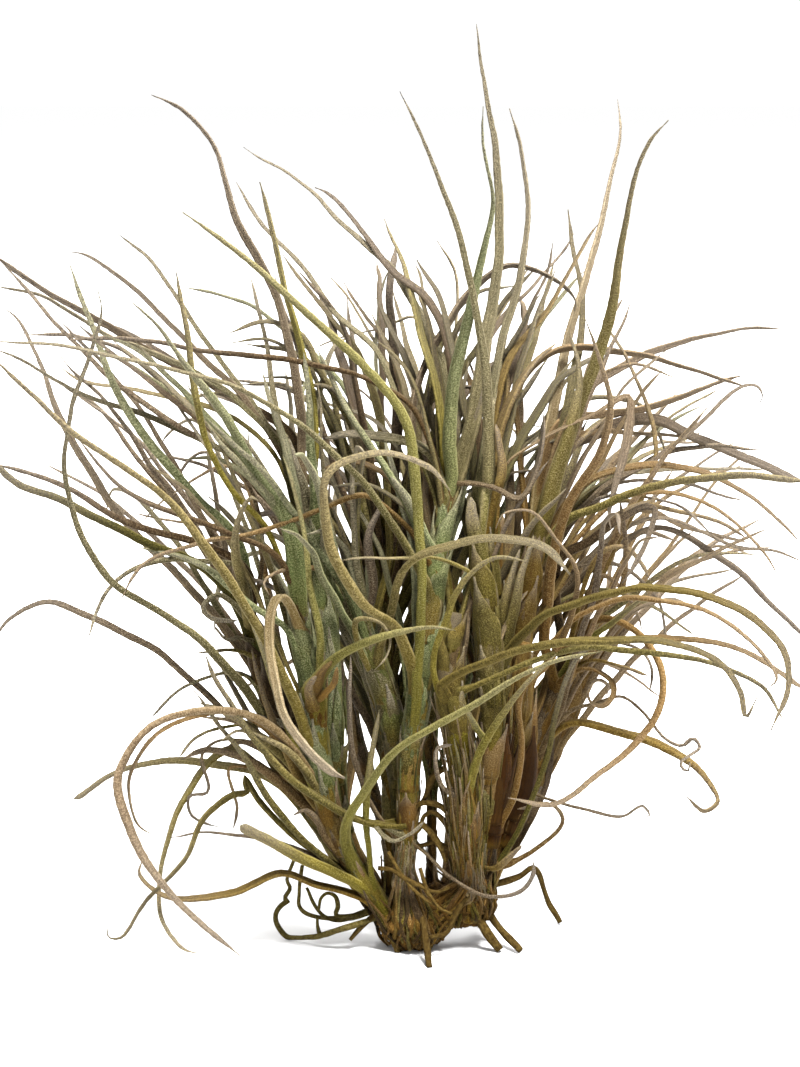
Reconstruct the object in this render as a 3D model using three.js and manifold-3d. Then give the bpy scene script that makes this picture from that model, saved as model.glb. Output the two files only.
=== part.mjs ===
// A tuft of ball moss: a knotted crown, upright shoots, long thin leaves and a few wiry roots.
// Millimetres, +Z up. The origin is the middle of the flat face under the crown.
import * as THREE from "three";
import { mergeVertices } from "three/addons/utils/BufferGeometryUtils.js";
import Module from "manifold-3d";

const wasm = await Module();
wasm.setup();

// Driving dimensions
const PLANT_HEIGHT = 170;
const GAP = 0.3;
const BLADE_THICKNESS_SHARE = 0.78;
const SHOOT_SIDES = 10;
const BLADE_SIDES = 6;
const BLADE_STEP = 7.5;
const SHOOT_STEP = 8;

// Every route is read in one front view of the plant, on a sheet 800 across and 1067 down, so a point of a
// route is [across, down]. How far a point lies behind the origin is a depth in millimetres, minus in front.
const SHEET_MIDDLE = [400, 533.5];
const SHEET_FOCUS = 2500;
const VIEW_DISTANCE = 2.65 * PLANT_HEIGHT;
const VIEW_TILT = THREE.MathUtils.degToRad(10);
const VIEW_AIM = new THREE.Vector3(-1.85, 0, 77.5);

const viewForward = new THREE.Vector3(0, Math.cos(VIEW_TILT), -Math.sin(VIEW_TILT));
const viewUp = new THREE.Vector3(0, Math.sin(VIEW_TILT), Math.cos(VIEW_TILT));
const viewEye = VIEW_AIM.clone().addScaledVector(viewForward, -VIEW_DISTANCE);

// The point of the plant that a point of the front view shows at a depth.
function place([across, down], depth) {
  const ray = viewForward.clone().multiplyScalar(SHEET_FOCUS);
  ray.x += across - SHEET_MIDDLE[0];
  ray.addScaledVector(viewUp, SHEET_MIDDLE[1] - down);
  return viewEye.clone().addScaledVector(ray, (depth - viewEye.y) / ray.y);
}

// Shares of the whole length at which the points of a route lie.
function sharesAlong(route) {
  const lengths = [0];
  for (let i = 1; i < route.length; i += 1) {
    const step = Math.hypot(route[i][0] - route[i - 1][0], route[i][1] - route[i - 1][1]);
    lengths.push(lengths[i - 1] + step);
  }
  return lengths.map((length) => length / lengths.at(-1));
}

// Depths are spread evenly from the start of a route to its end.
function depthAt(depths, share) {
  const position = share * (depths.length - 1);
  const index = Math.min(Math.floor(position), depths.length - 2);
  return THREE.MathUtils.lerp(depths[index], depths[index + 1], position - index);
}

function curveOf(route, depths) {
  const shares = sharesAlong(route);
  const points = route.map((point, i) => place(point, depthAt(depths, shares[i])));
  return new THREE.CatmullRomCurve3(points, false, "centripetal");
}

// A tapered cylinder bent along a curve. halfWidth gives its half width at a share of the length, and grow
// makes it larger all round. Where the curve runs too low, the cylinder lies on the surface under the plant.
function bend(curve, { sides, step, thicknessShare, halfWidth }, grow) {
  const segments = Math.max(6, Math.round(curve.getLength() / step));
  const geometry = new THREE.CylinderGeometry(1, 1, 1, sides, segments);
  const frames = curve.computeFrenetFrames(segments);
  const positions = geometry.attributes.position;
  const corner = new THREE.Vector3();
  for (let i = 0; i < positions.count; i += 1) {
    corner.fromBufferAttribute(positions, i);
    const ring = Math.round((corner.y + 0.5) * segments);
    const share = ring / segments;
    const half = halfWidth(share);
    const point = curve.getPointAt(share);
    point.z = Math.max(point.z, half);
    point.addScaledVector(frames.binormals[ring], corner.x * (half + grow));
    point.addScaledVector(frames.normals[ring], corner.z * (half * thicknessShare + grow));
    point.addScaledVector(frames.tangents[ring], (Number(ring === segments) - Number(ring === 0)) * grow);
    positions.setXYZ(i, point.x, point.y, point.z);
  }
  return geometry;
}

// Solids, for the cuts
function solidOf(geometry) {
  geometry.deleteAttribute("normal");
  geometry.deleteAttribute("uv");
  const merged = mergeVertices(geometry, 1e-4);
  const mesh = new wasm.Mesh({
    numProp: 3,
    vertProperties: new Float32Array(merged.attributes.position.array),
    triVerts: new Uint32Array(merged.index.array),
  });
  return new wasm.Manifold(mesh);
}

function geometryOf(solid) {
  const mesh = solid.getMesh();
  const geometry = new THREE.BufferGeometry();
  geometry.setAttribute("position", new THREE.BufferAttribute(new Float32Array(mesh.vertProperties), 3));
  geometry.setIndex(new THREE.BufferAttribute(new Uint32Array(mesh.triVerts), 1));
  geometry.computeVertexNormals();
  return geometry;
}

function largestPart(solid) {
  const parts = solid.decompose();
  return parts.reduce((best, part) => (part.volume() > best.volume() ? part : best));
}

function boxesTouch(first, second) {
  const a = first.boundingBox();
  const b = second.boundingBox();
  return [0, 1, 2].every((axis) => a.min[axis] <= b.max[axis] && b.min[axis] <= a.max[axis]);
}

// Colours
const TONES = {
  sage: 0x8fa08c,
  silver: 0x9a9f8c,
  yellow: 0xa49f5c,
  olive: 0x7d7848,
  cream: 0xc6bc97,
  tan: 0xa08c68,
  mauve: 0x7a675b,
  dark: 0x54442f,
  straw: 0x8c7848,
  root: 0x5a452a,
};
const ROUGHNESS = 0.85;

// Copies of the pieces already in place, grown by the gap. A new piece is cut back by the grown copies it
// meets, so that bases nest against each other and against the shoot that carries them.
const grownNeighbours = [];
const plant = new THREE.Group();

function addPiece(name, tone, solid, grown) {
  let seated = solid;
  for (const neighbour of grownNeighbours) {
    if (boxesTouch(seated, neighbour)) {
      seated = largestPart(seated.subtract(neighbour));
    }
  }
  grownNeighbours.push(grown);
  const material = new THREE.MeshStandardMaterial({ color: TONES[tone], roughness: ROUGHNESS, metalness: 0 });
  const mesh = new THREE.Mesh(geometryOf(seated), material);
  mesh.name = name;
  plant.add(mesh);
}

function addSweep(name, tone, curve, section) {
  addPiece(name, tone, solidOf(bend(curve, section, 0)), solidOf(bend(curve, section, GAP)));
}

// Crown: three knuckles of rhizome grown together, cut flat where they rest.
const KNUCKLES = [
  { middle: [0, 0, 5.2], half: [8.6, 7.4, 7] },
  { middle: [7, 0.5, 8], half: [6, 5.4, 5] },
  { middle: [11.6, 0.5, 8.6], half: [5, 5.4, 6.4] },
];
const CROWN_ROOM = 60;

function knuckleSolid({ middle, half }, grow) {
  const geometry = new THREE.SphereGeometry(1, 16, 12);
  geometry.scale(half[0] + grow, half[1] + grow, half[2] + grow);
  geometry.translate(...middle);
  return solidOf(geometry);
}

function crownSolid(grow) {
  const above = new THREE.BoxGeometry(CROWN_ROOM, CROWN_ROOM, CROWN_ROOM);
  above.translate(0, 0, CROWN_ROOM / 2);
  return KNUCKLES.map((knuckle) => knuckleSolid(knuckle, grow))
    .reduce((whole, knuckle) => whole.add(knuckle))
    .intersect(solidOf(above));
}

addPiece("crown", "straw", crownSolid(0), crownSolid(GAP));

// Shoots: name, tone, diameter, depths from bottom to top, route from bottom to top. Each swells a little
// where its sheaths end.
const SHOOTS = [
  { name: "shoot_middle", tone: "sage", width: 4, depths: [-2, -4, -6, -6],
    route: [[401, 905], [406, 850], [408, 800], [410, 757], [420, 690], [431, 620], [437, 560], [453, 478]] },
  { name: "shoot_mid_right", tone: "straw", width: 5, depths: [-2, -7, -8, -6],
    route: [[470, 905], [466, 840], [465, 790], [460, 745], [452, 705], [450, 660], [456, 610]] },
  { name: "shoot_speckled", tone: "olive", width: 3.8, depths: [2, 0, -2, -4],
    route: [[480, 890], [487, 840], [494, 790], [499, 740], [500, 690], [497, 640], [491, 580], [483, 525]] },
  { name: "shoot_left", tone: "sage", width: 4.4, depths: [-2, -7, -9, -10],
    route: [[380, 905], [345, 852], [326, 795], [316, 740], [312, 690], [304, 645], [299, 600]] },
  { name: "shoot_diagonal", tone: "silver", width: 3.6, depths: [3, 3, 0, -4],
    route: [[394, 900], [390, 850], [390, 795], [389, 745], [377, 690], [352, 632], [328, 585], [309, 541]] },
  { name: "shoot_right", tone: "tan", width: 4, depths: [3, 6, 6, 4],
    route: [[486, 885], [500, 846], [515, 805], [522, 770], [524, 735], [522, 695], [518, 650], [520, 600],
      [535, 545]] },
  { name: "shoot_outer_left", tone: "olive", width: 3.8, depths: [2, 2, 3, 4],
    route: [[371, 900], [343, 862], [318, 815], [300, 770], [283, 730], [264, 685], [250, 630]] },
  { name: "shoot_outer_right", tone: "mauve", width: 3.4, depths: [9, 10, 10, 10],
    route: [[487, 868], [515, 825], [530, 780], [542, 735], [553, 700], [566, 660]] },
  { name: "shoot_back", tone: "dark", width: 4, depths: [5, 14, 21, 26],
    route: [[430, 900], [432, 800], [430, 680], [424, 560]] },
  { name: "shoot_back_right", tone: "dark", width: 4, depths: [6, 15, 21, 25],
    route: [[462, 890], [485, 800], [505, 700], [522, 600]] },
];
const SHOOT_FOOT_SHARE = 0.82;
const SHOOT_TOP_SHARE = 0.45;
const SHOOT_TAPER = 2.2;
const SHEATH_SWELL = 0.07;
const SHEATH_LENGTH = 11;

function shootHalfWidth(width, length) {
  return (share) => {
    const taper = Math.min(1, SHOOT_FOOT_SHARE + share, SHOOT_TOP_SHARE + SHOOT_TAPER * (1 - share));
    const swell = 1 + SHEATH_SWELL * Math.sin((2 * Math.PI * share * length) / SHEATH_LENGTH);
    return (width / 2) * taper * swell;
  };
}

const shootCurves = {};
for (const { name, tone, width, depths, route } of SHOOTS) {
  const curve = curveOf(route, depths);
  const halfWidth = shootHalfWidth(width, curve.getLength());
  shootCurves[name] = curve;
  addSweep(name, tone, curve, { sides: SHOOT_SIDES, step: SHOOT_STEP, thicknessShare: 1, halfWidth });
}

// Leaves: the shoot that carries each leaf, the share of the shoot's length where it grows, the width of its
// blade, its depths after the base, and its route from the base to the tip.
const LEAVES = [
  { name: "leaf_spire", on: "shoot_middle", at: 0.96, tone: "silver", width: 1.6, depths: [0, 4, 6],
    route: [[465, 450], [477, 390], [493, 295], [500, 218], [492, 130], [475, 24]] },
  { name: "leaf_spire_left", on: "shoot_middle", at: 1, tone: "sage", width: 1.9, depths: [-10, -16, -24],
    route: [[451, 440], [459, 360], [476, 288], [493, 205], [482, 140], [484, 107]] },
  { name: "leaf_green_spire", on: "shoot_speckled", at: 1, tone: "silver", width: 1.9,
    depths: [-10, -20, -34],
    route: [[488, 470], [485, 385], [468, 270], [441, 187], [421, 132], [399, 92]] },
  { name: "leaf_grey_spire", on: "shoot_speckled", at: 0.94, tone: "silver", width: 1.4, depths: [0, 8, 20],
    route: [[487, 440], [497, 365], [519, 275], [528, 200], [521, 150], [509, 108]] },
  { name: "leaf_yellow_up", on: "shoot_speckled", at: 0.86, tone: "yellow", width: 1.5, depths: [6, 16, 32],
    route: [[496, 450], [512, 402], [535, 342], [548, 285], [554, 256]] },
  { name: "leaf_far_up_left", on: "shoot_middle", at: 0.9, tone: "silver", width: 1.3, depths: [8, 20, 38],
    route: [[449, 400], [428, 328], [392, 270], [344, 224], [293, 176], [244, 148]] },
  { name: "leaf_pale_high", on: "shoot_right", at: 0.96, tone: "tan", width: 1.7, depths: [10, 20, 34],
    route: [[542, 470], [562, 370], [588, 272], [612, 180], [621, 130], [617, 99]] },
  { name: "leaf_tan_high", on: "shoot_right", at: 1, tone: "cream", width: 1.9, depths: [-2, -10, -22],
    route: [[552, 487], [582, 400], [608, 330], [618, 265], [632, 195], [650, 140], [668, 120]] },
  { name: "leaf_right_olive", on: "shoot_right", at: 0.9, tone: "olive", width: 1.4, depths: [16, 26, 38],
    route: [[555, 425], [590, 387], [645, 356], [700, 337], [745, 329], [785, 329]] },
  { name: "leaf_right_dark", on: "shoot_right", at: 0.84, tone: "dark", width: 1.5, depths: [13, 16, 22],
    route: [[560, 455], [600, 430], [650, 419], [700, 438], [760, 464], [810, 484]] },
  { name: "leaf_right_green", on: "shoot_right", at: 0.78, tone: "olive", width: 1.4, depths: [-6, -12, -20],
    route: [[560, 525], [600, 506], [650, 485], [700, 478], [760, 475], [812, 482]] },
  { name: "leaf_golden_middle", on: "shoot_outer_right", at: 0.86, tone: "yellow", width: 1.6,
    depths: [-6, -18, -32],
    route: [[545, 640], [553, 565], [572, 498], [603, 445], [611, 400], [584, 317]] },
  { name: "leaf_right_long", on: "shoot_right", at: 0.68, tone: "dark", width: 1.5, depths: [14, 24, 36],
    route: [[560, 600], [620, 544], [660, 525], [720, 557], [780, 611], [812, 643]] },
  { name: "leaf_front_arch", on: "shoot_speckled", at: 0.62, tone: "yellow", width: 1.6,
    depths: [-22, -38, -50],
    route: [[530, 625], [575, 601], [640, 587], [720, 599], [780, 643], [790, 675], [771, 731]] },
  { name: "leaf_right_pink", on: "shoot_right", at: 0.55, tone: "tan", width: 1.3, depths: [2, 0, 3],
    route: [[560, 648], [600, 641], [670, 636], [740, 650], [812, 692]] },
  { name: "leaf_big_arch", on: "shoot_mid_right", at: 0.7, tone: "silver", width: 1.8,
    depths: [-26, -38, -46],
    route: [[440, 686], [462, 670], [527, 647], [600, 638], [670, 643], [720, 663], [742, 692], [747, 716],
      [757, 698]] },
  { name: "leaf_tan_hook", on: "shoot_outer_right", at: 0.97, tone: "tan", width: 1.4, depths: [-6, -14, -20],
    route: [[600, 618], [640, 632], [664, 670], [655, 720], [600, 775], [550, 806], [508, 797]] },
  { name: "leaf_golden_low", on: "shoot_outer_right", at: 0.62, tone: "straw", width: 1.9, depths: [8, 4, -2],
    route: [[570, 722], [600, 725], [660, 743], [700, 770], [720, 800], [705, 811], [684, 794]] },
  { name: "leaf_pale_loop", on: "shoot_middle", at: 0.5, tone: "cream", width: 1.4, depths: [-24, -30, -28],
    route: [[398, 630], [362, 600], [330, 535], [330, 472], [385, 453], [428, 467], [450, 492]] },
  { name: "leaf_long_front", on: "shoot_middle", at: 0.36, tone: "yellow", width: 1.6,
    depths: [-14, -18, -14, -6],
    route: [[417, 690], [421, 590], [418, 500], [404, 420], [362, 362], [296, 304], [230, 244], [182, 212]] },
  { name: "leaf_cream_arch", on: "shoot_diagonal", at: 0.58, tone: "cream", width: 1.4,
    depths: [-16, -30, -36],
    route: [[391, 605], [408, 563], [460, 541], [515, 540], [550, 550], [570, 573]] },
  { name: "leaf_low_front", on: "shoot_left", at: 0.17, tone: "yellow", width: 1.5, depths: [-26, -40, -50],
    route: [[345, 828], [364, 788], [398, 748], [464, 708], [553, 661], [600, 651]] },
  { name: "leaf_blue_left", on: "shoot_left", at: 1, tone: "sage", width: 2, depths: [-12, -15, -20],
    route: [[285, 515], [255, 468], [222, 412], [183, 360], [158, 325], [126, 298]] },
  { name: "leaf_pink_loop", on: "shoot_left", at: 0.9, tone: "mauve", width: 1.4, depths: [-22, -28, -34],
    route: [[281, 594], [268, 625], [273, 675], [293, 732], [329, 772], [344, 778]] },
  { name: "leaf_long_speckled", on: "shoot_middle", at: 0.74, tone: "silver", width: 1.5,
    depths: [-15, -24, -36],
    route: [[410, 552], [366, 483], [302, 425], [225, 382], [120, 357], [40, 343], [-12, 340]] },
  { name: "leaf_dark_far_left", on: "shoot_diagonal", at: 0.97, tone: "dark", width: 1.3,
    depths: [12, 26, 42],
    route: [[298, 450], [285, 428], [215, 387], [143, 347], [77, 309], [25, 278], [-12, 252]] },
  { name: "leaf_kinked", on: "shoot_left", at: 0.95, tone: "mauve", width: 1.5, depths: [4, 18, 36],
    route: [[303, 470], [298, 400], [281, 311], [237, 219], [212, 145], [184, 110], [152, 96]] },
  { name: "leaf_far_green", on: "shoot_diagonal", at: 0.66, tone: "olive", width: 1.4, depths: [10, 24, 44],
    route: [[388, 560], [386, 480], [374, 395], [357, 350], [332, 321], [282, 252]] },
  { name: "leaf_low_s", on: "shoot_outer_left", at: 0.42, tone: "olive", width: 1.5, depths: [-10, -18, -28],
    route: [[268, 723], [209, 646], [110, 577], [68, 497], [72, 410], [102, 314], [99, 288]] },
  { name: "leaf_outer_left", on: "shoot_outer_left", at: 0.78, tone: "mauve", width: 1.5, depths: [9, 18, 30],
    route: [[222, 622], [170, 568], [107, 497], [69, 433], [43, 372], [18, 319], [2, 304]] },
  { name: "leaf_yellow_long", on: "shoot_left", at: 0.45, tone: "yellow", width: 1.4, depths: [-20, -26, -34],
    route: [[296, 703], [265, 640], [224, 571], [163, 495], [84, 440], [33, 395], [-12, 352]] },
  { name: "leaf_olive_left", on: "shoot_outer_left", at: 0.96, tone: "olive", width: 1.5,
    depths: [-4, -8, -12],
    route: [[217, 579], [140, 538], [64, 502], [20, 485], [-12, 456]] },
  { name: "leaf_grey_arch", on: "shoot_outer_left", at: 0.58, tone: "silver", width: 1.3, depths: [6, 4, 8],
    route: [[250, 730], [205, 691], [158, 652], [97, 619], [48, 602], [8, 621], [-8, 645]] },
  { name: "leaf_blunt", on: "shoot_outer_left", at: 0.3, tone: "yellow", width: 1.4, depths: [6, 8, 10],
    route: [[265, 775], [212, 762], [160, 760], [112, 774], [73, 798]] },
  { name: "leaf_tan_arch", on: "shoot_left", at: 0.36, tone: "tan", width: 1.6, depths: [-14, -18, -16, -11],
    route: [[270, 722], [204, 709], [153, 723], [117, 774], [128, 830], [163, 884], [204, 928], [240, 956]] },
  { name: "leaf_golden_droop", on: "shoot_outer_left", at: 0.22, tone: "tan", width: 1.3, depths: [3, -2, -8],
    route: [[230, 749], [184, 797], [160, 865], [161, 915], [181, 948], [200, 954]] },
  { name: "leaf_low_yellow", on: "shoot_left", at: 0.06, tone: "yellow", width: 1.4, depths: [-9, -13, -18],
    route: [[332, 871], [281, 846], [240, 826]] },
  { name: "leaf_hanging_right", on: "shoot_right", at: 0.1, tone: "dark", width: 1, depths: [11, 13, 16],
    route: [[507, 856], [543, 792], [558, 716], [584, 660], [600, 645]] },
  { name: "leaf_back_up", on: "shoot_back", at: 1, tone: "olive", width: 1.5, depths: [33, 44, 58],
    route: [[425, 500], [418, 390], [392, 290]] },
  { name: "leaf_back_left", on: "shoot_back", at: 0.9, tone: "mauve", width: 1.5, depths: [38, 52, 66],
    route: [[380, 520], [290, 430], [190, 385]] },
  { name: "leaf_back_right", on: "shoot_back_right", at: 1, tone: "olive", width: 1.5, depths: [36, 50, 64],
    route: [[540, 550], [620, 470], [705, 430]] },
  { name: "leaf_back_low_left", on: "shoot_back", at: 0.55, tone: "tan", width: 1.5, depths: [38, 54, 60],
    route: [[395, 690], [330, 650], [235, 690]] },
  { name: "leaf_back_low_right", on: "shoot_back_right", at: 0.5, tone: "tan", width: 1.5,
    depths: [38, 52, 58],
    route: [[535, 690], [600, 660], [665, 700]] },
];
const SHEATH_FLARE = 1.35;
const SHEATH_SHARE = 0.16;
const TIP_SHARE = 0.3;

// A blade is widest in its sheath, even to its middle, and narrow at the tip.
function bladeHalfWidth(width) {
  return (share) => {
    const flare = THREE.MathUtils.lerp(SHEATH_FLARE, 1, THREE.MathUtils.smoothstep(share, 0, SHEATH_SHARE));
    const taper = THREE.MathUtils.lerp(1, TIP_SHARE, THREE.MathUtils.smoothstep(share, 0.45, 1));
    return (width / 2) * flare * taper;
  };
}

function addBlade(name, tone, width, curve) {
  const halfWidth = bladeHalfWidth(width);
  addSweep(name, tone, curve, {
    sides: BLADE_SIDES, step: BLADE_STEP, thicknessShare: BLADE_THICKNESS_SHARE, halfWidth,
  });
}

// The base of a leaf starts inside its shoot and is cut back to the shoot's surface.
for (const { name, on, at, tone, width, depths, route } of LEAVES) {
  const base = shootCurves[on].getPointAt(at);
  addBlade(name, tone, width, curveOf([sheetPoint(base), ...route], [base.y, ...depths]));
}

// The point of the front view where a point of the plant shows.
function sheetPoint(point) {
  const fromEye = point.clone().sub(viewEye);
  const forward = fromEye.dot(viewForward);
  return [
    SHEET_MIDDLE[0] + (SHEET_FOCUS * fromEye.x) / forward,
    SHEET_MIDDLE[1] - (SHEET_FOCUS * fromEye.dot(viewUp)) / forward,
  ];
}

// Roots: stubs and wires that come out of the crown and reach the surface.
const ROOTS = [
  { name: "root_front", width: 1.3, depths: [-3, -6, -9.5, -12.2],
    route: [[410, 900], [421, 915], [426, 942], [430, 968]] },
  { name: "root_stub_near", width: 1.6, depths: [-1, -3, -4], route: [[474, 905], [484, 928], [500, 950]] },
  { name: "root_stub_far", width: 1.4, depths: [2, 0, -5], route: [[484, 905], [497, 925], [520, 950]] },
  { name: "root_left_wire", width: 1, depths: [-1, -4, 2, 6],
    route: [[385, 915], [345, 928], [310, 937], [286, 936], [276, 914], [288, 900]] },
  { name: "root_right_wire", width: 1.1, depths: [6, 10, 12, 11.5],
    route: [[482, 888], [518, 877], [534, 868], [546, 896], [560, 923]] },
  { name: "root_back", width: 1.2, depths: [6, 14, 20], route: [[425, 905], [432, 903], [440, 907]] },
];
for (const { name, width, depths, route } of ROOTS) {
  addBlade(name, "root", width, curveOf(route, depths));
}

export default plant;
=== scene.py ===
# Looks of the ball moss: leaves, shoots wrapped in old sheaths, a knotted crown and wiry roots.
# Lengths are in millimetres until a mesh is made, and then in metres. +Z is up, -Y is to the front.
import math
import random

import bpy
import numpy as np
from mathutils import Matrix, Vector, noise


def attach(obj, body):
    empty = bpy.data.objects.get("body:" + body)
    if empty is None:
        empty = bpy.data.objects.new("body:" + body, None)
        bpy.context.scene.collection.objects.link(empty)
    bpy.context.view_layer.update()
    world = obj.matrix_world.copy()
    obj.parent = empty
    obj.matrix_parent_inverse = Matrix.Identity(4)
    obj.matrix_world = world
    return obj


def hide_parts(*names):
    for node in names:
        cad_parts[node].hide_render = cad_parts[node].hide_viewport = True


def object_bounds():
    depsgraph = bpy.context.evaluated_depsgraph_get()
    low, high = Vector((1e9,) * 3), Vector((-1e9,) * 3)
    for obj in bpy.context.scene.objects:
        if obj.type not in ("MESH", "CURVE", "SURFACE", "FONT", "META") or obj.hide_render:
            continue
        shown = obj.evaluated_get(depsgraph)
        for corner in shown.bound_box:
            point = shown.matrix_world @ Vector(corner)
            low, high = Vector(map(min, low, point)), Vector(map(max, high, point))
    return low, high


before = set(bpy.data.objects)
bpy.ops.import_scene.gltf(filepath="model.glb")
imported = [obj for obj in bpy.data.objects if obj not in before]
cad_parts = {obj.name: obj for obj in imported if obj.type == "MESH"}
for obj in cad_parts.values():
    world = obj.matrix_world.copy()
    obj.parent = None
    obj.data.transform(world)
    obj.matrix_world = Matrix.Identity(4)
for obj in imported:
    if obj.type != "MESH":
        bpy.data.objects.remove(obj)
cad_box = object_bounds()
MM = 0.001

# The front view that routes are read in: a sheet 800 across and 1067 down, so a point of a route is
# (across, down). How far a point lies behind the origin is a depth in millimetres, minus in front.
PLANT_HEIGHT = 170.0
SHEET_WIDTH = 800.0
SHEET_HEIGHT = 1067.0
SHEET_MIDDLE = (SHEET_WIDTH / 2, SHEET_HEIGHT / 2)
SHEET_FOCUS = 2500.0
VIEW_DISTANCE = 2.65 * PLANT_HEIGHT
VIEW_TILT = math.radians(10)
VIEW_AIM = np.array((-1.85, 0.0, 77.5))
VIEW_FORWARD = np.array((0.0, math.cos(VIEW_TILT), -math.sin(VIEW_TILT)))
VIEW_UP = np.array((0.0, math.sin(VIEW_TILT), math.cos(VIEW_TILT)))
VIEW_EYE = VIEW_AIM - VIEW_DISTANCE * VIEW_FORWARD
SENSOR_WIDTH = 36.0

# How far leaves, shoots and roots stay above the floor.
FLOOR_GAP = 0.05


def place(point, depth):
    """The point of the plant that a point of the front view shows at a depth."""
    ray = VIEW_FORWARD * SHEET_FOCUS + VIEW_UP * (SHEET_MIDDLE[1] - point[1])
    ray[0] += point[0] - SHEET_MIDDLE[0]
    return VIEW_EYE + ray * (depth - VIEW_EYE[1]) / ray[1]


def sheet_point(point):
    """The point of the front view where a point of the plant shows."""
    from_eye = point - VIEW_EYE
    forward = from_eye @ VIEW_FORWARD
    return (SHEET_MIDDLE[0] + SHEET_FOCUS * from_eye[0] / forward,
            SHEET_MIDDLE[1] - SHEET_FOCUS * (from_eye @ VIEW_UP) / forward)


def smoothstep(value, low, high):
    share = np.clip((value - low) / (high - low), 0, 1)
    return share * share * (3 - 2 * share)


def mixed(first, second, share):
    return first + (second - first) * share


def unit(vector):
    return vector / max(np.linalg.norm(vector), 1e-9)


def outward(azimuth):
    """The level way out at an azimuth: 0 is the front, and a quarter turn is the right."""
    return np.array((math.sin(azimuth), -math.cos(azimuth), 0.0))


def new_object(name, data):
    """An object of the scene."""
    made = bpy.data.objects.new(name, data)
    bpy.context.scene.collection.objects.link(made)
    return made


def aim(made, way):
    """Turn a camera or a light so that it looks along way."""
    made.rotation_mode = "QUATERNION"
    made.rotation_quaternion = Vector(way).to_track_quat("-Z", "Y")


# Camera
def make_camera():
    data = bpy.data.cameras.new("camera")
    data.sensor_width = SENSOR_WIDTH
    data.lens = SENSOR_WIDTH * SHEET_FOCUS / SHEET_HEIGHT
    data.clip_start = 0.01
    data.clip_end = 100
    camera = new_object("camera", data)
    camera.location = VIEW_EYE * MM
    aim(camera, VIEW_FORWARD)
    bpy.context.scene.camera = camera


make_camera()


# Curves
CURVE_STEPS = 24


def smooth_points(points):
    """Points close together along a centripetal Catmull-Rom curve through the given points."""
    points = np.asarray(points, float)
    held = np.vstack([2 * points[0] - points[1], points, 2 * points[-1] - points[-2]])
    gaps = np.maximum(np.sum(np.diff(held, axis=0) ** 2, axis=1) ** 0.25, 1e-4)
    t = np.linspace(0, 1, CURVE_STEPS, endpoint=False)[:, None]
    stretches = []
    for i in range(len(points) - 1):
        before, start, end, after = held[i:i + 4]
        g0, g1, g2 = gaps[i:i + 3]
        leave = ((start - before) / g0 - (end - before) / (g0 + g1) + (end - start) / g1) * g1
        arrive = ((end - start) / g1 - (after - start) / (g1 + g2) + (after - end) / g2) * g1
        cube = 2 * start - 2 * end + leave + arrive
        square = 3 * end - 3 * start - 2 * leave - arrive
        stretches.append(start + leave * t + square * t ** 2 + cube * t ** 3)
    return np.vstack([*stretches, points[-1:]])


def lengths_along(points):
    return np.concatenate([[0], np.cumsum(np.linalg.norm(np.diff(points, axis=0), axis=1))])


def smooth_path(points, step):
    """A smooth line through the given points, with points at even steps of about step."""
    line = smooth_points(points)
    lengths = lengths_along(line)
    count = max(8, int(round(lengths[-1] / step)) + 1)
    wanted = np.linspace(0, lengths[-1], count)
    return np.stack([np.interp(wanted, lengths, line[:, axis]) for axis in range(3)], axis=1)


def placed_route(route, depths):
    """The points of a route, with depths spread evenly from its start to its end."""
    flat = lengths_along(np.asarray(route, float))
    at = flat / flat[-1] * (len(depths) - 1)
    depth = np.interp(at, range(len(depths)), depths)
    return [place(point, d) for point, d in zip(route, depth)]


def frames_along(path, first_side):
    """Sides that turn with a path as little as they can, and the ways across it."""
    tangents = np.gradient(path, axis=0)
    tangents /= np.maximum(np.linalg.norm(tangents, axis=1), 1e-9)[:, None]
    sides = np.empty_like(path)
    side = first_side
    for i, tangent in enumerate(tangents):
        side = unit(side - tangent * (side @ tangent))
        sides[i] = side
    return sides, np.cross(tangents, sides)


def wobble(path, rng, size, reach):
    """The path with small slow bends, none at its start and full ones from 22 mm on."""
    lengths = lengths_along(path)
    offset = np.zeros_like(path)
    for wave in (reach, reach * 0.45):
        for axis in range(3):
            turn = rng.uniform(0, 2 * math.pi)
            offset[:, axis] += (wave / reach) * np.sin(lengths / wave * 2 * math.pi + turn)
    return path + offset * size * smoothstep(lengths, 4, 22)[:, None]


# Meshes. A material reads these values at each corner. along runs from 0 at the base to 1 at the tip, and
# across from -1 to 1 over the width. kind, dry and pale lie between 0 and 1 and are the same all over a leaf
# or fibre: which kind of mottling it has, how dry it is and how much paler painted light makes it.
VALUE_KEYS = ("along", "across", "kind", "dry", "pale")


def add_layer(mesh, name, values):
    """A number or a vector at each corner of a mesh."""
    values = np.asarray(values, np.float32)
    if values.ndim == 1:
        mesh.attributes.new(name, "FLOAT", "POINT").data.foreach_set("value", values)
    else:
        mesh.attributes.new(name, "FLOAT_VECTOR", "POINT").data.foreach_set("vector", values.ravel())


def grain_of(around, lengths, shift):
    """Where corners lie in the grain of the surface: around it, along it, and shifted aside."""
    return np.stack([around, np.broadcast_to(lengths[:, None], around.shape), np.full(around.shape, shift)],
                    axis=2)


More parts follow.
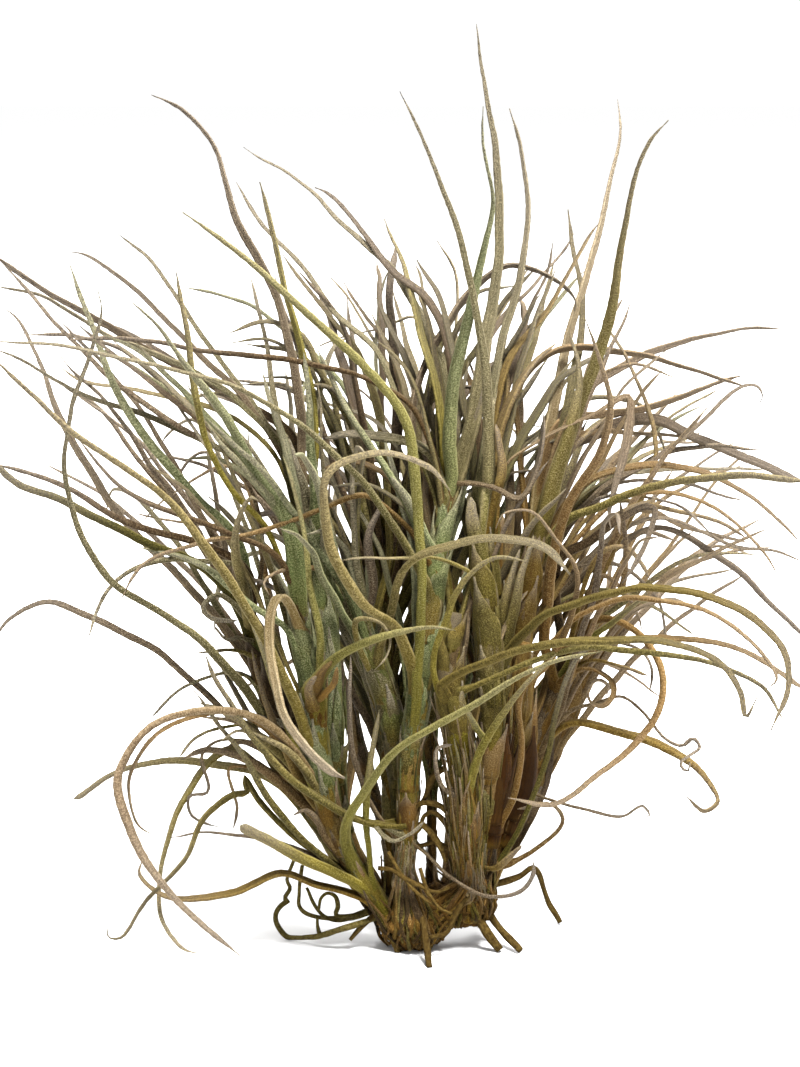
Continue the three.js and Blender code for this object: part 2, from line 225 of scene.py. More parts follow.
class Bunch:
    """Corners and faces of one piece, with what its material reads at each corner."""

    def __init__(self):
        self.corners = []
        self.faces = []
        self.grain = []
        self.values = {key: [] for key in VALUE_KEYS}
        self.painted_pale_share = 0.0
        self.count = 0

    def add_rings(self, rings, lengths, across, grain, kind, dry):
        """Closed rings of corners joined into a tube above the floor, with both ends filled."""
        rings[..., 2] = np.maximum(rings[..., 2], FLOOR_GAP)
        ring_count, around = rings.shape[:2]
        first = self.count + np.arange(ring_count - 1)[:, None] * around
        here = np.arange(around)
        after = (here + 1) % around
        quads = np.stack([first + here, first + after, first + around + after, first + around + here], axis=2)
        self.faces.extend(quads.reshape(-1, 4).tolist())
        self.faces.append([self.count + i for i in reversed(range(around))])
        self.faces.append([self.count + (ring_count - 1) * around + i for i in range(around)])
        self.corners.append(rings.reshape(-1, 3))
        self.grain.append(grain.reshape(-1, 3))
        along = (lengths / lengths[-1])[:, None]
        for key, value in zip(VALUE_KEYS, (along, across, kind, dry, self.painted_pale_share)):
            self.values[key].append(np.broadcast_to(value, (ring_count, around)).reshape(-1))
        self.count += ring_count * around


def piece_of_mesh(name, mesh, material, replaces=()):
    """A piece of the tuft, which may stand for solids of the frame."""
    mesh.shade_smooth()
    mesh.materials.clear()
    mesh.materials.append(material)
    piece = new_object(name, mesh)
    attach(piece, "root")
    if replaces:
        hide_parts(*replaces)


def piece_from(name, bunch, material, slot, replaces=()):
    """The piece that a bunch holds."""
    mesh = bpy.data.meshes.new(name)
    mesh.from_pydata((np.vstack(bunch.corners) * MM).tolist(), [], bunch.faces)
    for key, values in bunch.values.items():
        add_layer(mesh, key, np.concatenate(values))
    add_layer(mesh, "grain", np.vstack(bunch.grain))
    piece_of_mesh(name, mesh, material, replaces)


def bunch_for(bunches, *key):
    """The bunch that is kept for a tone, or for a part of the tuft and a tone."""
    return bunches.setdefault(key, Bunch())


def tone_pieces(prefix, bunches, slot_of):
    """A piece of every bunch, named after what it is kept for."""
    for key, bunch in bunches.items():
        tone = key[-1]
        piece_from("_".join((prefix, *key)), bunch, LEAF_MATERIALS[tone], slot_of(tone))


# Materials
# Colours are written as they look in the studio light, which makes them lighter than the surface is.
LIGHT_GAIN = (1.88, 2.07, 2.95)
SHEATH_BASE = "76622e"
TIP_GREY = "86828c"
# The grey of the painted light that pales leaves towards the back of the tuft.
PAINTED_LIGHT_GREY = "96909a"
WARM_FILTER = (1.0, 0.93, 0.64, 1.0)
MATT_SPECULAR = 0.04


def colour(code):
    """A surface colour from the six hex digits of how it looks."""
    parts = [int(code[i:i + 2], 16) / 255 for i in (0, 2, 4)]
    light = [p / 12.92 if p <= 0.04045 else ((p + 0.055) / 1.055) ** 2.4 for p in parts]
    return (*(part / gain for part, gain in zip(light, LIGHT_GAIN)), 1.0)


class Nodes:
    """Short ways to make the nodes of one material."""

    def __init__(self, name):
        self.material = bpy.data.materials.new(name)
        self.material.use_nodes = True
        self.tree = self.material.node_tree
        self.shader = self.tree.nodes["Principled BSDF"]

    def node(self, kind, **settings):
        made = self.tree.nodes.new(kind)
        for key, value in settings.items():
            setattr(made, key, value)
        return made

    def join(self, value, socket):
        """Feed a socket from another one, or set it to a number or a colour."""
        if isinstance(value, (int, float, tuple)):
            socket.default_value = value
        else:
            self.tree.links.new(value, socket)

    def shade(self, **values):
        """Feed or set sockets of the shader, which are named in small letters."""
        for socket in self.shader.inputs:
            key = socket.name.lower().replace(" ", "_")
            if key in values:
                self.join(values[key], socket)

    def value_of(self, name):
        return self.node("ShaderNodeAttribute", attribute_name=name).outputs["Fac"]

    def grain_noise(self, stretch, scale, detail, roughness):
        """Noise in the grain of the surface, drawn out where a number of stretch is small."""
        mapping = self.node("ShaderNodeMapping")
        grain = self.node("ShaderNodeAttribute", attribute_name="grain").outputs["Vector"]
        self.join(grain, mapping.inputs["Vector"])
        self.join(stretch, mapping.inputs["Scale"])
        made = self.node("ShaderNodeTexNoise")
        self.join(mapping.outputs["Vector"], made.inputs["Vector"])
        for name, value in (("Scale", scale), ("Detail", detail), ("Roughness", roughness)):
            self.join(value, made.inputs[name])
        return made.outputs["Fac"]

    def span(self, value, low, high, to_low=0.0, to_high=1.0):
        """Values from low to high turned smoothly into values from to_low to to_high."""
        made = self.node("ShaderNodeMapRange", interpolation_type="SMOOTHSTEP")
        for name, given in (("Value", value), ("From Min", low), ("From Max", high), ("To Min", to_low),
                            ("To Max", to_high)):
            self.join(given, made.inputs[name])
        return made.outputs["Result"]

    def maths(self, operation, first, second):
        made = self.node("ShaderNodeMath", operation=operation)
        self.join(first, made.inputs[0])
        self.join(second, made.inputs[1])
        return made.outputs["Value"]

    def plus(self, first, second):
        return self.maths("ADD", first, second)

    def times(self, first, second):
        return self.maths("MULTIPLY", first, second)

    def mix(self, share, first, second, blend="MIX"):
        made = self.node("ShaderNodeMix", data_type="RGBA", blend_type=blend)
        self.join(share, made.inputs["Factor"])
        self.join(first, made.inputs[6])
        self.join(second, made.inputs[7])
        return made.outputs[2]

    def tint(self, base, code, share):
        """A share of another colour over the base."""
        return self.mix(share, base, colour(code))

    def ramp(self, value, stops):
        made = self.node("ShaderNodeValToRGB")
        elements = made.color_ramp.elements
        while len(elements) < len(stops):
            elements.new(0.5)
        for element, (position, code) in zip(elements, stops):
            element.position = position
            element.color = colour(code)
        self.join(value, made.inputs["Fac"])
        return made.outputs["Color"]

    def bump(self, height, strength, distance, normal=None):
        made = self.node("ShaderNodeBump")
        for name, value in (("Height", height), ("Strength", strength), ("Distance", distance)):
            self.join(value, made.inputs[name])
        if normal is not None:
            self.join(normal, made.inputs["Normal"])
        return made.outputs["Normal"]


class LeafNodes(Nodes):
    """The nodes of a leaf, with what its looks depend on: values at each corner, and noise in its grain."""

    def __init__(self, name):
        super().__init__(name)
        self.along = self.value_of("along")
        self.across = self.maths("ABSOLUTE", self.value_of("across"), 0.0)
        self.kind = self.value_of("kind")
        self.dry = self.value_of("dry")
        self.pale = self.value_of("pale")
        self.patches = self.grain_noise((0.25, 0.09, 1.0), scale=1.0, detail=3.0, roughness=0.6)
        self.nerves = self.grain_noise((1.0, 0.05, 1.0), scale=4.0, detail=2.0, roughness=0.6)
        self.scales = self.grain_noise((1.0, 0.85, 1.0), scale=4.8, detail=3.0, roughness=0.8)
        self.specks = self.grain_noise((1.0, 1.0, 1.0), scale=10.0, detail=2.0, roughness=0.6)


def leaf_tissue(n, stops, other, bloom, old, greying):
    """Colours from base to tip, mottling towards another tone, long nerves, old brown patches, and painted
    light that pales the leaves towards the back of the tuft.
    """
    base = n.ramp(n.along, stops)
    base = n.tint(base, SHEATH_BASE, n.span(n.along, 0.0, 0.14, 0.7, 0.0))
    base = n.tint(base, other, n.span(n.plus(n.patches, n.times(n.kind, 0.55)), 0.55, 1.0))
    base = n.tint(base, bloom, n.span(n.kind, 0.6, 1.0, 0.0, 0.25))
    base = n.tint(base, old, n.span(n.nerves, 0.3, 0.6, 0.45, 0.0))
    base = n.tint(base, old, n.times(n.span(n.plus(n.patches, n.dry), 0.72, 1.1), 0.75))
    base = n.tint(base, TIP_GREY, n.span(n.along, 0.55, 1.0, 0.0, greying))
    # Painted light: leaves get paler towards the back of the tuft, by their pale value.
    return n.tint(base, PAINTED_LIGHT_GREY, n.times(n.pale, n.span(n.along, 0.15, 0.7, 0.0, 0.5)))


def leaf_bloom(n, base, bloom, bloom_share, old, pepper):
    """Dark pits, pale scales in specks of two sizes, a painted sheen at grazing angles, pale margins and a
    dark groove.
    """
    scurf = n.times(n.span(n.along, 0.0, 0.45, 0.5, 1.0), n.span(n.dry, 0.1, 0.6, 1.0, 0.35))
    painted_sheen_facing = n.node("ShaderNodeLayerWeight")
    painted_sheen_facing.inputs["Blend"].default_value = 0.5
    base = n.tint(base, old, n.span(n.scales, 0.4, 0.5, pepper, 0.0))
    base = n.tint(base, bloom, n.times(scurf, n.span(n.scales, 0.52, 0.6, 0.0, bloom_share)))
    base = n.tint(base, bloom, n.times(scurf, n.span(n.specks, 0.54, 0.64, 0.0, bloom_share * 0.7)))
    # Painted sheen: the bloom colour is mixed into the base colour where the surface is seen at a grazing
    # angle.
    base = n.tint(base, bloom, n.span(painted_sheen_facing.outputs["Facing"], 0.45, 0.95, 0.0, 0.5))
    base = n.tint(base, bloom, n.span(n.across, 0.8, 1.0, 0.0, 0.25))
    return n.tint(base, old, n.span(n.across, 0.35, 0.0, 0.0, 0.22))


def leaf_material(name, stops, other, bloom, bloom_share, old, pepper, greying=0.75):
    """A leaf or sheath: its tissue and a scaly bloom over it, warmer at the base and where it is dry."""
    n = LeafNodes(name)
    base = leaf_tissue(n, stops, other, bloom, old, greying)
    base = leaf_bloom(n, base, bloom, bloom_share, old, pepper)
    warmth = n.maths("MAXIMUM", n.span(n.along, 0.0, 0.5, 0.75, 0.0), n.span(n.dry, 0.1, 0.6, 0.0, 0.6))
    coarse = n.bump(n.plus(n.scales, n.times(n.nerves, 0.8)), strength=1.0, distance=0.0004)
    n.shade(base_color=n.mix(warmth, base, WARM_FILTER, "MULTIPLY"),
            roughness=n.span(n.scales, 0.3, 0.7, 0.6, 0.85),
            specular_ior_level=MATT_SPECULAR,
            normal=n.bump(n.specks, strength=0.6, distance=0.00015, normal=coarse))
    return n.material


# Tones: colours from base to tip, the tone of patches, the bloom and how much of it, the tone of old parts,
# how dark the pits between the scales are, and how grey the tip gets where that isn't as usual.
TONES = {
    "sage": (((0.0, "626838"), (0.2, "647858"), (0.5, "757f68"), (1.0, "989190")),
        "485a3e", "bcc2aa", 0.65, "34381a", 0.75),
    "silver": (((0.0, "6a662c"), (0.3, "696b46"), (0.6, "777464"), (1.0, "969090")),
        "4c4c30", "bab4a8", 0.68, "302a16", 0.75),
    "yellow": (((0.0, "686620"), (0.3, "767026"), (0.7, "787038"), (1.0, "8c8069")),
        "545a22", "b5ae78", 0.55, "403608", 0.6),
    "khaki": (((0.0, "6b6424"), (0.3, "706838"), (0.6, "7a7050"), (1.0, "938a7e")),
        "565226", "b8ae90", 0.6, "3a3010", 0.65),
    "olive": (((0.0, "605619"), (0.3, "5c571e"), (0.65, "685f3a"), (1.0, "8e8072")),
        "42421b", "a89f78", 0.6, "2f270a", 0.7),
    "moss": (((0.0, "56521e"), (0.3, "4e4e1c"), (0.65, "554f28"), (1.0, "706a50")),
        "33360f", "8d875e", 0.5, "241f08", 0.7),
    "cream": (((0.0, "605c18"), (0.3, "706c2a"), (0.6, "8a8255"), (1.0, "aca092")),
        "62602a", "c5bb9e", 0.55, "544014", 0.5),
    "pale": (((0.0, "6c5e34"), (0.3, "8a7c5e"), (0.65, "a49784"), (1.0, "bcb0a8")),
        "75684c", "d4cac0", 0.6, "5a4628", 0.5),
    "rose": (((0.0, "6b6034"), (0.3, "7d6e5c"), (0.65, "887870"), (1.0, "9f928c")),
        "65564a", "bcaea6", 0.6, "463524", 0.6),
    "tan": (((0.0, "745a22"), (0.3, "7c6036"), (0.65, "866c4e"), (1.0, "988778")),
        "5a461e", "b8a48a", 0.58, "402b10", 0.65),
    "mauve": (((0.0, "645028"), (0.3, "625340"), (0.65, "6c615c"), (1.0, "8a8082")),
        "443628", "aba09a", 0.6, "2e2112", 0.7),
    "dark": (((0.0, "4d3a1b"), (0.3, "483622"), (0.65, "524236"), (1.0, "786a62")),
        "342714", "928476", 0.45, "1d1408", 0.7),
    "lime": (((0.0, "6c6a2a"), (0.3, "74733a"), (0.7, "7f7d52"), (1.0, "928b78")),
        "5c5c32", "b4b28a", 0.6, "3c3c14", 0.65, 0.4),
    "straw": (((0.0, "7c6424"), (0.3, "7b6830"), (0.65, "7f6e40"), (1.0, "928062")),
        "584819", "b09c70", 0.52, "42290c", 0.6),
    "bronze": (((0.0, "56583a"), (0.3, "5f5a36"), (0.65, "64562a"), (1.0, "80725a")),
        "444019", "9c9064", 0.58, "302508", 0.7),
    "bark": (((0.0, "62481f"), (0.4, "72562b"), (1.0, "8f7246")),
        "443012", "a88e5e", 0.4, "2c1c08", 0.5, 0.15),
    "chocolate": (((0.0, "402506"), (0.5, "482b06"), (1.0, "5a3a0c")),
        "2e1a04", "7a5c30", 0.06, "1c1002", 0.5, 0.05),
}


def bark_material(name, stops, scale, depth):
    """The crown, roots and wires: brown, darker in the hollows of the coarse bump as painted shade, with
    paler worn fibres and a coarse surface.
    """
    n = Nodes(name)
    coarse = n.grain_noise((1.0, 1.0, 1.0), scale, detail=4.0, roughness=0.65)
    fibres = n.grain_noise((1.0, 0.15, 1.0), scale * 3.5, detail=3.0, roughness=0.7)
    darkest, palest = stops[0][1], stops[-1][1]
    # Painted shade: the colour ramp follows the coarse bump, so its hollows are darker.
    base = n.ramp(coarse, stops)
    base = n.tint(base, palest, n.span(fibres, 0.5, 0.72, 0.0, 0.55))
    base = n.tint(base, darkest, n.span(n.value_of("kind"), 0.0, 1.0, 0.0, 0.5))
    n.shade(base_color=base, roughness=0.85, specular_ior_level=MATT_SPECULAR,
            normal=n.bump(n.plus(coarse, fibres), strength=0.9, distance=depth))
    return n.material


LEAF_MATERIALS = {tone: leaf_material("leaf_" + tone, *values) for tone, values in TONES.items()}
CROWN_MATERIAL = bark_material(
    "crown", ((0.3, "261a0c"), (0.45, "483418"), (0.6, "6e542b"), (0.8, "94784a")), scale=0.8, depth=0.0004)
ROOT_MATERIAL = bark_material(
    "root", ((0.3, "302410"), (0.48, "504122"), (0.62, "685834"), (0.8, "887850")), scale=1.6, depth=0.0003)
WIRE_MATERIAL = bark_material(
    "wire", ((0.3, "3a341a"), (0.48, "5c5532"), (0.62, "746c4a"), (0.8, "948c6c")), scale=1.6, depth=0.0003)

# Slots of the tones that have no slot of their own.
SHEATH_SLOTS = {"bark": "crown", "chocolate": "sheath_dark", "yellow": "blade_yellow", "moss": "sheath_olive",
                "bronze": "sheath_olive"}
BLADE_SLOTS = {"bark": "crown", "moss": "blade_olive", "rose": "blade_mauve", "bronze": "blade_olive",
               "khaki": "blade_silver", "pale": "blade_cream", "lime": "blade_yellow"}


def sheath_slot(tone):
    return SHEATH_SLOTS.get(tone, "sheath_" + tone)


def blade_slot(tone):
    return BLADE_SLOTS.get(tone, "blade_" + tone)


# Shoots that stand for the solids of the frame: tone, diameter, depths and route, both from bottom to top.
SHOOTS = {
    "shoot_middle": ("sage", 4, (-2, -4, -6, -6),
        [(401, 905), (406, 850), (408, 800), (410, 757), (420, 690), (431, 620), (437, 560), (453, 478)]),
    "shoot_mid_right": ("bronze", 5, (-2, -7, -8, -6),
        [(470, 905), (466, 840), (465, 790), (460, 745), (452, 705), (450, 660), (456, 610)]),
    "shoot_speckled": ("olive", 3.8, (2, 0, -2, -4),
        [(480, 890), (487, 840), (494, 790), (499, 740), (500, 690), (497, 640), (491, 580), (483, 525)]),
    "shoot_left": ("sage", 4.4, (-2, -7, -9, -10),
        [(380, 905), (345, 852), (326, 795), (316, 740), (312, 690), (304, 645), (299, 600)]),
    "shoot_diagonal": ("silver", 3.6, (3, 3, 0, -4),
        [(394, 900), (390, 850), (390, 795), (389, 745), (377, 690), (352, 632), (328, 585), (309, 541)]),
    "shoot_right": ("tan", 4, (3, 6, 6, 4),
        [(486, 885), (500, 846), (515, 805), (522, 770), (524, 735), (522, 695), (518, 650), (520, 600),
         (535, 545)]),
    "shoot_outer_left": ("dark", 3.8, (2, 2, 3, 4),
        [(371, 900), (343, 862), (318, 815), (300, 770), (283, 730), (264, 685), (250, 630)]),
    "shoot_outer_right": ("mauve", 3.4, (9, 10, 10, 10),
        [(487, 868), (515, 825), (530, 780), (542, 735), (553, 700), (566, 660)]),
    "shoot_back": ("dark", 2.2, (5, 14, 21, 26), [(430, 900), (432, 800), (430, 680), (424, 560)]),
    "shoot_back_right": ("dark", 3, (6, 15, 21, 25), [(462, 890), (485, 800), (505, 700), (522, 600)]),
}
# Shoots that are only in the looks: some thicken one of those above, and the rest fill the tuft behind them.
MORE_SHOOTS = {
    "trunk_tan": ("sage", 4.6, (0, -3, -5, -6),
        [(378, 898), (350, 850), (337, 800), (333, 750), (330, 690), (325, 630), (318, 570), (311, 515)]),
    "trunk_speckled": ("olive", 5.0, (2, -3, -5, -6),
        [(478, 885), (484, 800), (491, 730), (490, 670), (486, 610), (479, 550), (474, 515)]),
    "trunk_gold": ("straw", 4.4, (10, 9, 2, -2, -3),
        [(492, 880), (507, 820), (517, 760), (519, 700), (520, 640), (530, 580), (545, 510)]),
    "trunk_diagonal": ("silver", 4.6, (3, 1, -1, -4),
        [(400, 890), (400, 800), (396, 745), (384, 690), (364, 640), (342, 595), (324, 555)]),
    "trunk_deep": ("olive", 2.4, (4, 9, 12, 14),
        [(415, 900), (404, 820), (392, 720), (388, 620), (392, 530)]),
    "trunk_back_left": ("mauve", 2.4, (6, 18, 30, 38), [(405, 900), (376, 800), (345, 700), (322, 600)]),
    "trunk_back_far": ("dark", 2.4, (8, 24, 36, 46), [(445, 900), (455, 800), (470, 700), (478, 600)]),
    "trunk_left_deep": ("tan", 3.4, (5, 12, 22, 30), [(385, 896), (335, 822), (300, 745), (276, 665)]),
    "trunk_right_deep": ("tan", 3.6, (8, 18, 26, 34), [(480, 885), (524, 805), (560, 735), (590, 660)]),
}
# How slim the foot of a shoot is beside the rest of it, so that light shows between the shoots.
SLIM_FEET = {"shoot_diagonal": 0.6, "shoot_back": 0.55, "trunk_deep": 0.6, "trunk_back_left": 0.7,
             "trunk_back_far": 0.7, "shoot_left": 0.75, "shoot_outer_left": 0.7, "trunk_tan": 0.7,
             "shoot_middle": 0.85, "trunk_left_deep": 0.7, "trunk_diagonal": 0.5, "trunk_gold": 0.6,
             "trunk_speckled": 0.7}
SHOOT_FOOT_SHARE = 0.82
SHOOT_TOP_SHARE = 0.45
SHOOT_TAPER = 2.2
SHEATH_SWELL = 0.07
SHEATH_LENGTH = 11.0


class Shoot:
    """A shoot's middle line and how thick it is along that line."""

    def __init__(self, name, tone, width, depths, route):
        self.name = name
        self.tone = tone
        self.width = width
        self.path = smooth_path(placed_route(route, depths), 0.5)
        self.length = lengths_along(self.path)[-1]

    def point(self, share):
        """The point at a share of the length, on a straight line below the foot where the share is minus."""
        at = np.clip(share, 0, 1) * (len(self.path) - 1)
        point = np.array([np.interp(at, range(len(self.path)), self.path[:, axis]) for axis in range(3)])
        return point + unit(self.path[4] - self.path[0]) * min(share, 0) * self.length

    def way(self, share):
        return unit(self.point(share + 0.02) - self.point(share - 0.02))

    def radius(self, share):
        share = np.clip(share, 0, 1)
        top = SHOOT_TOP_SHARE + SHOOT_TAPER * (1 - share)
        taper = np.minimum(1, np.minimum(SHOOT_FOOT_SHARE + share, top))
        swell = 1 + SHEATH_SWELL * np.sin(2 * math.pi * share * self.length / SHEATH_LENGTH)
        slim = mixed(SLIM_FEET.get(self.name, 1.0), 1.0, smoothstep(share, 0.08, 0.5))
        return self.width / 2 * taper * swell * slim


shoots = {name: Shoot(name, *row) for name, row in {**SHOOTS, **MORE_SHOOTS}.items()}

# Parts of the tuft, by the shoots that carry their leaves.
PARTS_OF_TUFT = {
    "left": ("shoot_left", "shoot_outer_left", "shoot_diagonal", "trunk_tan", "trunk_back_left",
             "trunk_left_deep"),
    "middle": ("shoot_middle", "shoot_mid_right", "shoot_speckled", "shoot_back", "trunk_deep",
               "trunk_back_far", "trunk_speckled", "trunk_diagonal"),
    "right": ("shoot_right", "shoot_outer_right", "shoot_back_right", "trunk_right_deep", "trunk_gold"),
}
PART_OF = {carrier: part for part, carriers in PARTS_OF_TUFT.items() for carrier in carriers}
# Painted light: how much paler the leaves of a part get towards the back of the tuft, and the depth from
# which they are palest.
PAINTED_PALENESS = {"left": 0.35, "middle": 0.9, "right": 0.9}
PALEST_DEPTH = 30.0


# Strips. A leaf's section is a bent strip: flat sides across, and a curl that closes round the shoot in the
# sheath and leaves a shallow groove in the blade.
BLADE_CURL = 1.5
SHEATH_CURL = 4.2
OUTER_BULGE = 0.86
INNER_BULGE = 0.42
SHEATH_THICKNESS = 0.16
OLD_SHEATH_THICKNESS = 0.13
RIBBON_THICKNESS = 0.1
TIP_SHARE = 0.4
SURFACE_ROUGHNESS = 0.05
# How far beyond its clasp a sheath has opened into a blade, the gap of the clasp round the shoot, and how far
# beyond the clasp the way out of a leaf is read.
CLASP_FADE = 7.5
CLASP_GAP = 0.12
AWAY_REACH = 11.0


def add_strip(bunch, path, side, half_width, curl, offset, outer, inner, detail, rng, kind, dry, twist=0.0):
    """A strip along a path. side points to its hollow face. half_width, curl, offset, outer and inner are
    half its width along the bend, the angle it bends through, how far its middle lies from the path, and how
    thick it is on its two faces: one number, or one for each point of the path."""
    half, curl, offset, outer, inner = (np.broadcast_to(value, len(path))[:, None]
                                        for value in (half_width, curl, offset, outer, inner))
    lengths = lengths_along(path)
    turn = twist * smoothstep(lengths, lengths[-1] * 0.25, lengths[-1])[:, None]
    sides, cross = frames_along(path, side)
    sides, cross = sides * np.cos(turn) + cross * np.sin(turn), cross * np.cos(turn) - sides * np.sin(turn)

    outer_across = np.linspace(-1, 1, detail)
    across = np.concatenate([outer_across, outer_across[::-1][1:-1]])
    is_outer = np.arange(len(across)) < detail
    curl = np.maximum(curl, 1e-3)
    angle = across * curl / 2
    bend = half / (curl / 2)
    profile = np.sqrt(np.maximum(0, 1 - np.abs(across) ** 2.4))
    thick = np.where(is_outer, outer, -inner) * profile
    x = bend * np.sin(angle) + np.sin(angle) * thick
    y = bend * (1 - np.cos(angle)) - offset - np.cos(angle) * thick

    rings = path[:, None, :] + cross[:, None, :] * x[..., None] + sides[:, None, :] * y[..., None]
    rough = np.random.default_rng(rng.getrandbits(32))
    rings = rings + rough.uniform(-SURFACE_ROUGHNESS, SURFACE_ROUGHNESS, rings.shape)
    seed = rng.uniform(0, 90)
    around = across * half + np.where(is_outer, 0, 3.0) + seed
    bunch.add_rings(rings, lengths, across, grain_of(around, lengths, seed * 1.7), kind, dry)


def blade_half(width, share, tip, blunt):
    """Half the width of a blade along its length: slim towards the tip, and pointed or cut off there."""
    if isinstance(width, tuple):
        width = np.interp(share, np.linspace(0, 1, len(width)), width)
    half = width / 2 * mixed(1.0, tip, smoothstep(share, 0.5, 1.0))
    if blunt:
        return half * np.sqrt(np.clip((1 - share) / 0.02, 0.02, 1))
    return half * mixed(1.0, 0.2, smoothstep(share, 0.93, 1.0))


def way_out(path, start, reach, shoot_way, rng):
    """The way a leaf leaves its shoot, square to the shoot, and to the front where it goes straight on."""
    away = path[min(len(path) - 1, reach)] - start
    out = away - shoot_way * (away @ shoot_way)
    if np.linalg.norm(out) < 0.4:
        out = out + np.array((rng.uniform(-1, 1), -1.0, 0.0))
    return unit(out)


def add_leaf(bunch, shoot, at, width, points, rng, sheath=9.0, detail=8, step=1.3, dry=0.0, tip=TIP_SHARE,
             blunt=False, rough=0.28):
    """A whole leaf: a sheath that clasps its shoot, then a blade through the points to a thin tip."""
    start = shoot.point(at)
    below = [shoot.point(at - part * sheath / shoot.length) for part in (1.0, 0.5)]
    kept = [p for i, p in enumerate(below) if np.linalg.norm(p - start) > 1.5 - i * 0.5]
    path = smooth_path([*kept, start, *points], step)
    path = wobble(path, rng, size=rough, reach=rng.uniform(22, 34))
    lengths = lengths_along(path)
    clasp_end = np.linalg.norm(below[0] - start) if kept else 0.0
    out = way_out(path, start, int((clasp_end + AWAY_REACH) / step), shoot.way(at), rng)

    clasp = (1 - smoothstep(lengths, clasp_end * 0.6, clasp_end + CLASP_FADE)) ** 1.25
    blade = blade_half(width, np.clip((lengths - clasp_end) / (lengths[-1] - clasp_end), 0, 1), tip, blunt)
    blade = blade * (1 + 0.07 * np.sin(lengths / rng.uniform(5, 8) + rng.uniform(0, 6)))
    round_shoot = shoot.radius(at) * mixed(0.9, 1.16, smoothstep(lengths, 0, clasp_end + 3)) + CLASP_GAP
    curl = mixed(BLADE_CURL, SHEATH_CURL * mixed(1.0, 0.8, lengths / lengths[-1]), clasp)
    half = mixed(blade * 1.12, round_shoot * curl / 2, clasp)
    offset = mixed(blade * 0.2, round_shoot, clasp)
    outer = mixed(blade * OUTER_BULGE, SHEATH_THICKNESS, clasp)
    inner = mixed(blade * INNER_BULGE, SHEATH_THICKNESS, clasp)
    add_strip(bunch, path, -out, half, curl, offset, outer, inner, detail, rng, kind=rng.random(), dry=dry,
              twist=rng.uniform(-0.9, 0.9))


